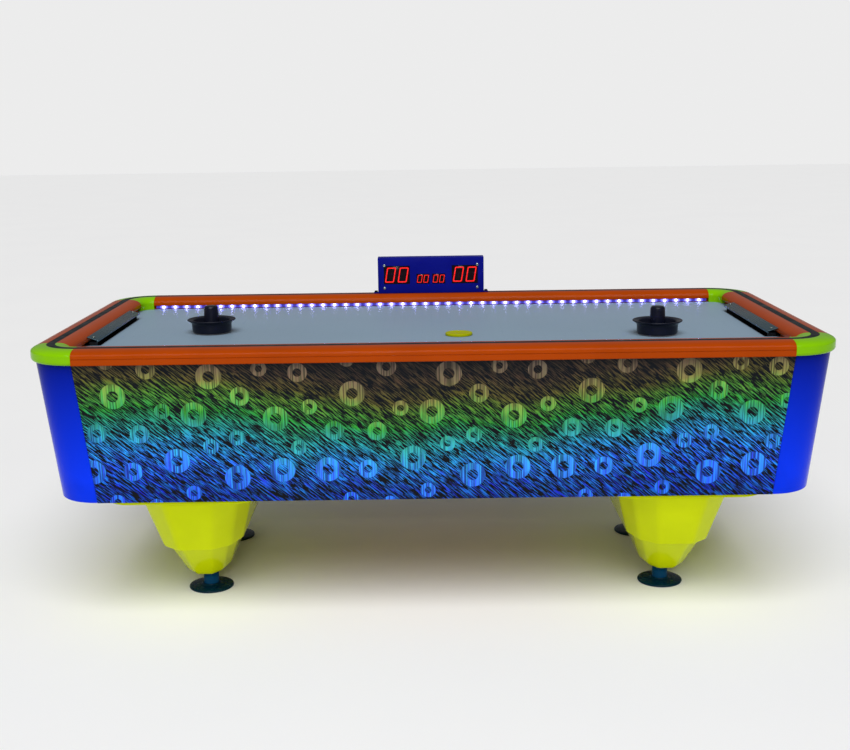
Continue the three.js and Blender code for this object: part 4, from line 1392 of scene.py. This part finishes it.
# ---------- pedestals and feet ----------
@dataclass
class Pedestals:
    """Moulded pedestals with a ledge, each under a top plate."""

    head: Flat = (0.284, 0.840)
    nose: float = 0.4  # these three as shares of the head's half length
    cheek: Flat = (0.8, 0.32)
    flank: float = 0.85
    ledge: Flat = (0.204, 0.690)
    ledge_level: float = 0.1454
    step: float = 0.013
    sole: Flat = (0.116, 0.500)
    toe: float = 0.014
    toe_taper: Flat = (0.78, 0.93)
    plate: float = 0.006
    plate_hem: float = 0.0035
    plate_corner: float = 0.055
    plate_edge: float = 0.003
    sunk: float = 0.001  # how far the head reaches into the plate
    edge: float = 0.009
    corner: float = 0.013
    bead: Flat = (0.003, 0.005)
    middle_x: float = 0.580
    foot_x: float = 0.572
    foot_y: float = 0.196
    bore: Flat = (0.0198, 0.093)

    def outline(self) -> list[Flat]:
        """Plan of the head: flat nose, slanted cheeks, straight flanks, rounded corners."""
        x, y = self.head[0] / 2, self.head[1] / 2
        half = [
            (self.nose * x, -y), (self.cheek[0] * x, self.cheek[1] * x - y), (x, self.flank * x - y),
        ]
        back = [(px, -py) for px, py in reversed(half)]
        right = [*half, *back]
        return filleted([*right, *[(-px, py) for px, py in reversed(right)]], self.corner)

    def build(self) -> None:
        """Make both pedestals."""
        low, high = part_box("pedestal_right")
        centre = (self.middle_x, 0, 0)
        top = high.z - self.plate
        neck = (self.head[0] - 2 * self.bead[0], self.head[1] - 2 * self.bead[0])
        start = top - 2 * self.bead[1]
        outline = [(x * neck[0] / self.head[0], y * neck[1] / self.head[1]) for x, y in self.outline()]
        form = Piece.drawn("form", [(self.middle_x + x, y, top + self.sunk) for x, y in outline])
        with form.editing():
            self.draw_down(form, centre, top + self.sunk, top - self.bead[1], neck, self.head)
            self.draw_down(form, centre, top - self.bead[1], start, self.head, neck)
            self.draw_down(form, centre, start, self.ledge_level, neck, self.ledge)
            shank = (self.ledge[0] - 2 * self.step, self.ledge[1] - 2 * self.step)
            self.draw_down(form, centre, 0, 0, self.ledge, shank)
            self.draw_down(form, centre, self.ledge_level, low.z + self.toe, shank, self.sole)
            toe = (self.sole[0] * self.toe_taper[0], self.sole[1] * self.toe_taper[1])
            self.draw_down(form, centre, low.z + self.toe, low.z, self.sole, toe)
        form.clean().bevel(self.edge, 4, above=22)
        for y in (-self.foot_y, self.foot_y):
            form.cut(Piece.post("bore", self.bore[0], (self.foot_x, y, 0), self.bore[1], 40))
        half = ((high.x - low.x) / 2, (high.y - low.y) / 2)
        middle = (high.x + low.x) / 2
        plan = rounded_rectangle(half, self.plate_corner, 12)
        plate = Piece.drawn("plate", [(middle + x, y, top - self.plate_hem) for x, y in plan])
        plate.pull((0, 0, self.plate + self.plate_hem)).bevel(self.plate_edge, 3)
        form.join(plate)
        for side, sx in zip(SIDES, (-1, 1)):
            piece = form.copy(f"pedestal_moulding_{side}").mirror((sx, 1, 1))
            piece.dress(YELLOW).mount("table", "pedestal_yellow", f"pedestal_{side}")
        bpy.data.objects.remove(form.thing)

    @staticmethod
    def draw_down(form: Piece, centre: Point, start: float, end: float, old: Flat, new: Flat) -> None:
        """Pull the last face down and scale it to a new size.

        Args:
            form: the piece being pulled.
            centre: fixed point of the scaling.
            start: height of the last face.
            end: height of the new one.
            old: length and width of the last face.
            new: length and width of the new one.
        """
        form.extrude((0, 0, end - start), (new[0] / old[0], new[1] / old[1], 1), centre)


@dataclass
class LevellingFeet:
    """Round pads on threaded stems."""

    pad_radius: float = 0.056
    pad_edge: float = 0.0055
    pad_crown: float = 0.008
    pad_round: float = 0.002
    pad_slope: Flat = (0.012, 0.0008)  # in from the rim, and down from the crown
    collar: Flat = (0.0065, 0.004)
    collar_reach: float = 0.004
    neck: float = 0.0245
    stem_radius: float = 0.0195
    stem_base: float = 0.0053
    stem_top: float = 0.074
    thread_start: float = 0.030
    thread_pitch: float = 0.0036
    thread_depth: float = 0.0009
    thread_end: float = 0.002

    def pad(self, name: str, x: float, y: float) -> Piece:
        """A pad with a rounded rim and a collar that flows into the stem."""
        r, edge = self.pad_radius, self.pad_edge
        top = self.pad_crown + self.collar[1]
        collar = arc((self.neck + self.collar_reach, top), self.collar, 270, 180, 6)
        rim = r - self.pad_round
        profile = [
            (0, 0), (rim, 0), *arc((rim, edge / 2), (self.pad_round, edge / 2), -90, 90, 8),
            (r - self.pad_slope[0], self.pad_crown - self.pad_slope[1]), *collar,
            (self.stem_radius + GAP, top), (self.stem_radius + GAP, self.stem_base - GAP),
            (0, self.stem_base - GAP),
        ]
        return Piece.turned(name, profile, (x, y, 0), 64)

    def stem(self, name: str, x: float, y: float) -> Piece:
        """A stem, plain at the foot and threaded above."""
        r, crest = self.stem_radius, self.stem_radius - self.thread_depth
        profile = [(0, self.stem_base), (r, self.stem_base), (r, self.thread_start)]
        turns = int((self.stem_top - self.thread_end - self.thread_start) / self.thread_pitch)
        for i in range(turns):
            z = self.thread_start + i * self.thread_pitch
            profile += [(crest, z + self.thread_pitch * 0.5), (r, z + self.thread_pitch)]
        profile += [(r - self.thread_end, self.stem_top), (0, self.stem_top)]
        return Piece.turned(name, profile, (x, y, 0), 40)

    def build(self) -> None:
        """Make a pad and a stem for each foot."""
        for end in ENDS:
            for side in SIDES:
                low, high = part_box(f"foot_stem_{end}_{side}")
                x, y = (low.x + high.x) / 2, (low.y + high.y) / 2
                body = f"foot_{end}_{side}"
                pad = self.pad(f"pad_{end}_{side}", x, y).dress(TEAL)
                pad.mount(body, "foot_teal", f"foot_pad_{end}_{side}")
                stem = self.stem(f"stem_{end}_{side}", x, y).dress(STEM_BLUE)
                stem.mount(body, "foot_teal", f"foot_stem_{end}_{side}")


# ---------- play pieces ----------
@dataclass
class PlayPieces:
    """Two mallets with felt soles, and the puck."""

    radius: float = 0.051
    flange: Flat = (0.0615, 0.036)
    knob: float = 0.0195
    height: float = 0.070
    felt: float = 0.0025
    toe: Flat = (0.003, 0.004)
    draft: float = 0.0005
    flare: Flat = (0.007, 0.008)
    flare_drop: float = 0.014
    brim: float = 0.0016
    dish: float = 0.009
    dish_fillet: float = 0.006
    knob_fillet: float = 0.005
    crown: Flat = (0.007, 0.0075)
    puck_radius: float = 0.034
    puck_height: float = 0.0065

    def mallet(self, name: str, centre: Point) -> Piece:
        """A mallet: skirt, flared flange, dish, and a knob with a rounded top."""
        r, (fr, fz), k = self.radius, self.flange, self.knob
        foot = self.felt + GAP
        toe, brim, fillet, inner = self.toe, self.brim, self.dish_fillet, self.knob_fillet
        heel, flare_level = r - toe[1], fz - self.flare_drop
        profile = [
            (0, foot), (heel, foot), *arc((heel, foot + toe[1]), toe, 270, 360, 5),
            (r - self.draft, flare_level), *arc((r + 0.0065, flare_level), self.flare, 180, 110, 6),
            (fr - 0.002, fz - 0.0035), *arc((fr - brim, fz - brim), (brim, brim), -90, 90, 8),
            (fr - 0.006, fz - 0.001), *arc((r - 0.002, fz - 0.008), (0.003, 0.006), 60, 180, 6),
            (r - 0.010, self.dish + fillet),
            *arc((r - 0.016, self.dish + fillet), (fillet, fillet), 0, -90, 6),
            (k + 0.006, self.dish), *arc((k + inner, self.dish + inner), (inner, inner), 270, 180, 6),
            (k - 0.0006, self.height * 0.6),
            *arc((k - 0.0085, self.height - self.crown[1]), self.crown, 0, 90, 8),
            (0, self.height),
        ]
        return Piece.turned(name, profile, centre, 64)

    def sole(self, name: str, centre: Point) -> Piece:
        """A felt sole with a soft edge."""
        r, h = self.radius - 0.003, self.felt
        profile = [(0, 0), (r - 0.001, 0), *arc((r - 0.001, h / 2), (0.001, h / 2), -90, 90, 6), (0, h)]
        return Piece.turned(name, profile, centre, 64)

    def puck(self, centre: Point) -> Piece:
        """A puck with a raised ring on both faces."""
        r, h, ring, dip = self.puck_radius, self.puck_height, 0.010, 0.0006
        upper = [
            *arc((r - 0.0015, h - 0.0015), (0.0015, 0.0015), 0, 90, 5), (r - ring + 0.001, h),
            *arc((r - ring - 0.0014, h), (0.0024, dip), 0, -90, 5),
        ]
        lower = [(x, h - z) for x, z in reversed(upper)]
        return Piece.turned("puck_disc", [(0, dip), *lower, *upper, (0, h - dip)], centre, 64)

    def build(self) -> None:
        """Make the mallets, their soles and the puck."""
        for side in SIDES:
            low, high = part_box(f"mallet_felt_{side}")
            centre = ((low.x + high.x) / 2, (low.y + high.y) / 2, low.z)
            body = f"mallet_{side}"
            striker = self.mallet(f"striker_{side}", centre).dress(MALLET)
            striker.mount(body, "black_plastic", f"mallet_{side}")
            sole = self.sole(f"striker_sole_{side}", centre).dress(FELT)
            sole.mount(body, "felt_grey", f"mallet_felt_{side}")
        low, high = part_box("puck")
        centre = ((low.x + high.x) / 2, (low.y + high.y) / 2, low.z)
        self.puck(centre).dress(PUCK).mount("puck", "puck_yellow", "puck")


# ---------- score board ----------
@dataclass
class ScoreBoard:
    """Navy case with two score windows, two small timer windows, and lit digits."""

    digit: Flat = (0.0265, 0.044)
    small_digit: Flat = (0.0135, 0.0225)
    slant: float = 0.17
    timer_x: float = 0.0232
    timer_width: float = 0.038
    screw: Flat = (0.0042, 0.002)
    screw_inset: tuple[float, float, float] = (0.019, 0.015, 0.023)
    pocket: float = 0.0035
    case_edge: float = 0.0012
    back_edge: float = 0.0008
    ear_height: float = 0.0025
    ear_span: Flat = (0.004, 0.020)
    ear_overlap: float = 0.002
    digit_half_pitch: float = 0.0185
    small_half_pitch: float = 0.0093
    bolt: Flat = (0.0052, 0.0009)  # radius of the head, and how far it stands above the ear
    washer: Flat = (0.0062, 0.0008)

    def zero(self, centre: Point, size: Flat) -> Piece:
        """A slanted zero made of an upper and a lower lit half.

        Args:
            centre: middle of the digit's face.
            size: its width and height.

        Returns:
            the digit.
        """
        halves = []
        for sign in (1, -1):
            outline = [(sign * x, sign * z) for x, z in self.half_zero(size)]
            points = [(centre[0] + x + self.slant * z, centre[1], centre[2] + z) for x, z in outline]
            halves.append(Piece.drawn("digit", points).pull((0, -0.0003, 0)))
        return halves[0].join(halves[1])

    @staticmethod
    def half_zero(size: Flat) -> list[Flat]:
        """Outline of the upper half of an upright zero."""
        w, h = size[0] / 2, size[1] / 2
        line, gap = size[0] * 0.125, size[1] * 0.012
        outer = line * 1.1
        inner = outer - line * 0.6
        corners = [((outer - w, h - outer), outer, 180, 90), ((w - outer, h - outer), outer, 90, 0)]
        points = [(-w, gap)]
        for centre, radius, start, end in corners:
            points += arc(centre, (radius, radius), start, end, 4)
        points += [(w, gap), (w - line, gap)]
        x, z = w - line - inner, h - line - inner
        points += [*arc((x, z), (inner, inner), 0, 90, 3), *arc((-x, z), (inner, inner), 90, 180, 3)]
        return [*points, (line - w, gap)]

    def digits(self, name: str, places: Sequence[Flat], face: float, size: Flat) -> None:
        """Lit zeros at several places.

        Args:
            name: the piece's name.
            places: middle of each digit along X and Z.
            face: front of the window behind them.
            size: width and height of a digit.
        """
        made = [self.zero((x, face - 0.0001, z), size) for x, z in places]
        made[0].join(*made[1:])
        Piece(made[0].thing, name).dress(DIGIT).mount("table", "display_black")

    def case(self, low: Vector, high: Vector) -> Piece:
        """The case, its windows cut to fit the displays."""
        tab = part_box("score_case")
        body = Piece.block("case", (low.x, tab[0].y, low.z), (high.x, low.y - GAP, high.z))
        body.bevel(self.case_edge, 3)
        for side in SIDES:
            self.window(body, *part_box(f"score_display_{side}"))
        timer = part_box("timer_display")
        for sx in (-1, 1):
            middle, half = sx * self.timer_x, self.timer_width / 2
            self.window(body, Vector((middle - half, 0, timer[0].z)), Vector((middle + half, 0, timer[1].z)))
        depth = [tab[0].y + reach for reach in self.ear_span]
        for sx in (-1, 1):
            xs = sorted((sx * (high.x - self.ear_overlap), sx * tab[1].x))
            ear = Piece.block("ear", (xs[0], depth[0], low.z), (xs[1], depth[1], low.z + self.ear_height))
            body.join(ear.bevel(0.0008, 2))
        return body

    def window(self, body: Piece, low: Vector, high: Vector) -> None:
        """Cut one window pocket into the front of the case."""
        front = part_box("score_case")[0].y
        margin = Vector((GAP, 0, GAP))
        start, end = low - margin, high + margin
        outside, inside = front - 0.01, front + self.pocket
        body.cut(Piece.block("pocket", (start.x, outside, start.z), (end.x, inside, end.z)))

    def build(self) -> None:
        """Make the case, the windows, the digits and the fasteners."""
        low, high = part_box("score_back_cover")
        self.case(low, high).dress(NAVY).mount("table", "score_navy", "score_case")
        back = Piece.of_node("score_back_cover", "score_back_plate").bevel(self.back_edge, 3)
        back.dress(NAVY).mount("table", "score_navy", "score_back_cover")
        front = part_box("score_case")[0].y
        for side in SIDES:
            w_low, w_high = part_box(f"score_display_{side}")
            self.display(f"window_{side}", w_low, w_high, f"score_display_{side}")
            middle, z = (w_low.x + w_high.x) / 2, (w_low.z + w_high.z) / 2
            places = [(middle + sx * self.digit_half_pitch, z) for sx in (-1, 1)]
            self.digits(f"score_digits_{side}", places, w_low.y, self.digit)
        t_low, t_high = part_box("timer_display")
        z = (t_low.z + t_high.z) / 2
        half = self.timer_width / 2
        panes = [(sx * self.timer_x - half, sx * self.timer_x + half) for sx in (-1, 1)]
        glass = [self.pane("pane", (x0, t_low.y, t_low.z), (x1, front + self.pocket - GAP, t_high.z))
                 for x0, x1 in panes]
        glass[0].join(glass[1])
        Piece(glass[0].thing, "timer_windows").dress(WINDOW).mount("table", "display_black", "timer_display")
        shift = self.small_half_pitch
        places = [(sx * self.timer_x + dx, z) for sx in (-1, 1) for dx in (-shift, shift)]
        self.digits("timer_digits", places, t_low.y, self.small_digit)
        self.fasteners(front, low, high)

    def display(self, name: str, low: Vector, high: Vector, node: str) -> None:
        """Make one score window in the place of a frame node."""
        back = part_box("score_case")[0].y + self.pocket - GAP
        pane = self.pane(name, low, (high.x, back, high.z))
        pane.dress(WINDOW).mount("table", "display_black", node)

    @staticmethod
    def pane(name: str, low: Point, high: Point) -> Piece:
        """A window pane with a fine rounded edge."""
        return Piece.block(name, low, high).bevel(0.0004, 2)

    def fasteners(self, front: float, low: Vector, high: Vector) -> None:
        """Make the four face screws and the two hexagon bolts."""
        radius, height = self.screw
        side, under, over = self.screw_inset
        heads = []
        for x in (low.x + side, high.x - side):
            for z in (low.z + under, high.z - over):
                head = button_screw("head", radius, height).turn(90, Axis.X)
                heads.append(head.move((x, front - 0.0001, z)))
        heads[0].join(*heads[1:])
        Piece(heads[0].thing, "score_face_screws").dress(SCREW).mount("table", "bare_steel")
        for name in SIDES:
            b_low, b_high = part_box(f"score_bolt_{name}")
            middle = ((b_low.x + b_high.x) / 2, (b_low.y + b_high.y) / 2)
            seat = low.z + self.ear_height + GAP
            reach, lift = self.bolt
            bolt = Piece.post("bolt", reach, (*middle, seat + lift), b_high.z - seat - lift, 6)
            bolt.bevel(0.0005, 2)
            washer = Piece.post("washer", self.washer[0], (*middle, seat), self.washer[1], 32)
            washer.bevel(0.0002, 1)
            bolt.join(washer)
            bolt = Piece(bolt.thing, f"hex_bolt_{name}").dress(BLACK)
            bolt.mount("table", "bare_steel", f"score_bolt_{name}")


# ---------- service side ----------
@dataclass
class Service:
    """Lock, power inlet and switch on the back, with eased edges."""

    edge: float = 0.0006

    def build(self) -> None:
        """Make each piece from its frame node and ease its edges."""
        rows = [
            ("door_lock", "cam_lock", "door_lock", STEEL, "bare_steel"),
            ("power_inlet", "mains_inlet", "table", BLACK, "black_plastic"),
            ("switch_frame", "switch_bezel", "table", BLACK, "black_plastic"),
            ("switch_rocker", "switch_cap", "switch_rocker", MALLET, "black_plastic"),
        ]
        for node, name, body, finish, slot in rows:
            piece = Piece.of_node(node, name).bevel(self.edge, 2)
            piece.dress(finish).mount(body, slot, node)


# ---------- studio ----------
@dataclass
class Studio:
    """Pale floor, soft lights and the camera."""

    camera: Point = (-0.00993, -3.18090, 1.14530)
    yaw: float = -0.180
    pitch: float = 11.432
    roll: float = -0.814
    lens: float = 52.217
    floor_half: float = 30.0
    room: Flat = (0.2, 0.84)  # light of the room, brightness of its wall
    day: Point = (2.85, 36.0, 50.0)  # strength, tilt and spread
    box_place: Point = (-0.3, -3.6, 1.5)
    box_aim: Point = (0.0, -0.4, 0.4)
    box_size: Flat = (0.5, 0.12)
    box_power: float = 12.0

    def floor(self) -> None:
        """Lay a pale floor with a faint mottle."""
        bpy.ops.object.select_all(action="DESELECT")
        bpy.ops.mesh.primitive_plane_add(size=2 * self.floor_half, location=(0, 0, 0))
        floor = bpy.context.object
        floor.name = "studio_floor"
        recipe = Recipe("studio_floor")
        cloud = recipe.remap(recipe.noise(1.5, 3), MIDST, (0.0, 0.3))
        recipe.set(base_color=recipe.mix(cloud, (0.9, 0.9, 0.9), (0.86, 0.86, 0.87)), roughness=0.9)
        floor.data.materials.append(recipe.material)

    @staticmethod
    def sky(glow: float, seen: float) -> None:
        """Fill the room with even light, in front of a white wall.

        Args:
            glow: strength of the light.
            seen: brightness of the wall.
        """
        world = bpy.data.worlds.new("studio")
        world.use_nodes = True
        tree = world.node_tree
        background = tree.nodes["Background"]
        background.inputs["Color"].default_value = (1, 1, 1, 1)
        path = tree.nodes.new("ShaderNodeLightPath")
        strength = tree.nodes.new("ShaderNodeMapRange")
        strength.inputs["To Min"].default_value = glow
        strength.inputs["To Max"].default_value = seen
        tree.links.new(path.outputs["Is Camera Ray"], strength.inputs["Value"])
        tree.links.new(strength.outputs[0], background.inputs["Strength"])
        bpy.context.scene.world = world

    @staticmethod
    def daylight(strength: float, tilt: float, spread: float) -> None:
        """Hang one wide soft light over the whole room.

        Args:
            strength: light on a surface that faces it.
            tilt: degrees from overhead towards the front.
            spread: its apparent width in degrees.
        """
        data = bpy.data.lights.new("daylight", "SUN")
        data.energy, data.angle = strength, math.radians(spread)
        light = bpy.data.objects.new("daylight", data)
        light.rotation_euler = (math.radians(tilt), 0, 0)
        bpy.context.scene.collection.objects.link(light)

    @staticmethod
    def softbox(name: str, place: Point, aim: Point, size: Flat, power: float) -> None:
        """Hang a rectangular light.

        Args:
            name: the light's name.
            place: where it hangs.
            aim: point that it faces.
            size: its length and width.
            power: watts.
        """
        data = bpy.data.lights.new(name, "AREA")
        data.shape, data.energy = "RECTANGLE", power
        data.size, data.size_y = size
        light = bpy.data.objects.new(name, data)
        light.location = place
        light.rotation_euler = (Vector(aim) - Vector(place)).to_track_quat("-Z", "Y").to_euler()
        bpy.context.scene.collection.objects.link(light)

    def aim_camera(self) -> None:
        """Set the camera up from its place and angles."""
        yaw, pitch, roll = (math.radians(a) for a in (self.yaw, self.pitch, self.roll))
        ahead = math.cos(pitch)
        forward = Vector((math.sin(yaw) * ahead, math.cos(yaw) * ahead, -math.sin(pitch)))
        level = Vector((math.cos(yaw), -math.sin(yaw), 0))
        upright = level.cross(forward)
        right = level * math.cos(roll) + upright * math.sin(roll)
        up = upright * math.cos(roll) - level * math.sin(roll)
        data = bpy.data.cameras.new("camera")
        data.lens, data.sensor_width, data.sensor_fit = self.lens, 36.0, "HORIZONTAL"
        camera = bpy.data.objects.new("camera", data)
        turn = Matrix((right, up, -forward)).transposed().to_4x4()
        camera.matrix_world = Matrix.Translation(Vector(self.camera)) @ turn
        bpy.context.scene.collection.objects.link(camera)
        bpy.context.scene.camera = camera

    def build(self) -> None:
        """Set the stage."""
        bpy.context.scene.view_settings.view_transform = "Standard"
        self.floor()
        self.sky(*self.room)
        self.daylight(*self.day)
        self.softbox("front", self.box_place, self.box_aim, self.box_size, self.box_power)
        self.aim_camera()


def main() -> None:
    """Build the table in order and report each part."""
    logging.basicConfig(level=logging.INFO, format="%(message)s")
    parts = [
        Studio(), Rim(), Cabinet(), Playfield(), Goals(), Pedestals(), LevellingFeet(), PlayPieces(),
        ScoreBoard(), Service(),
    ]
    for part in parts:
        LOG.info("%s", type(part).__name__)
        part.build()


if __name__ == "__main__":
    main()
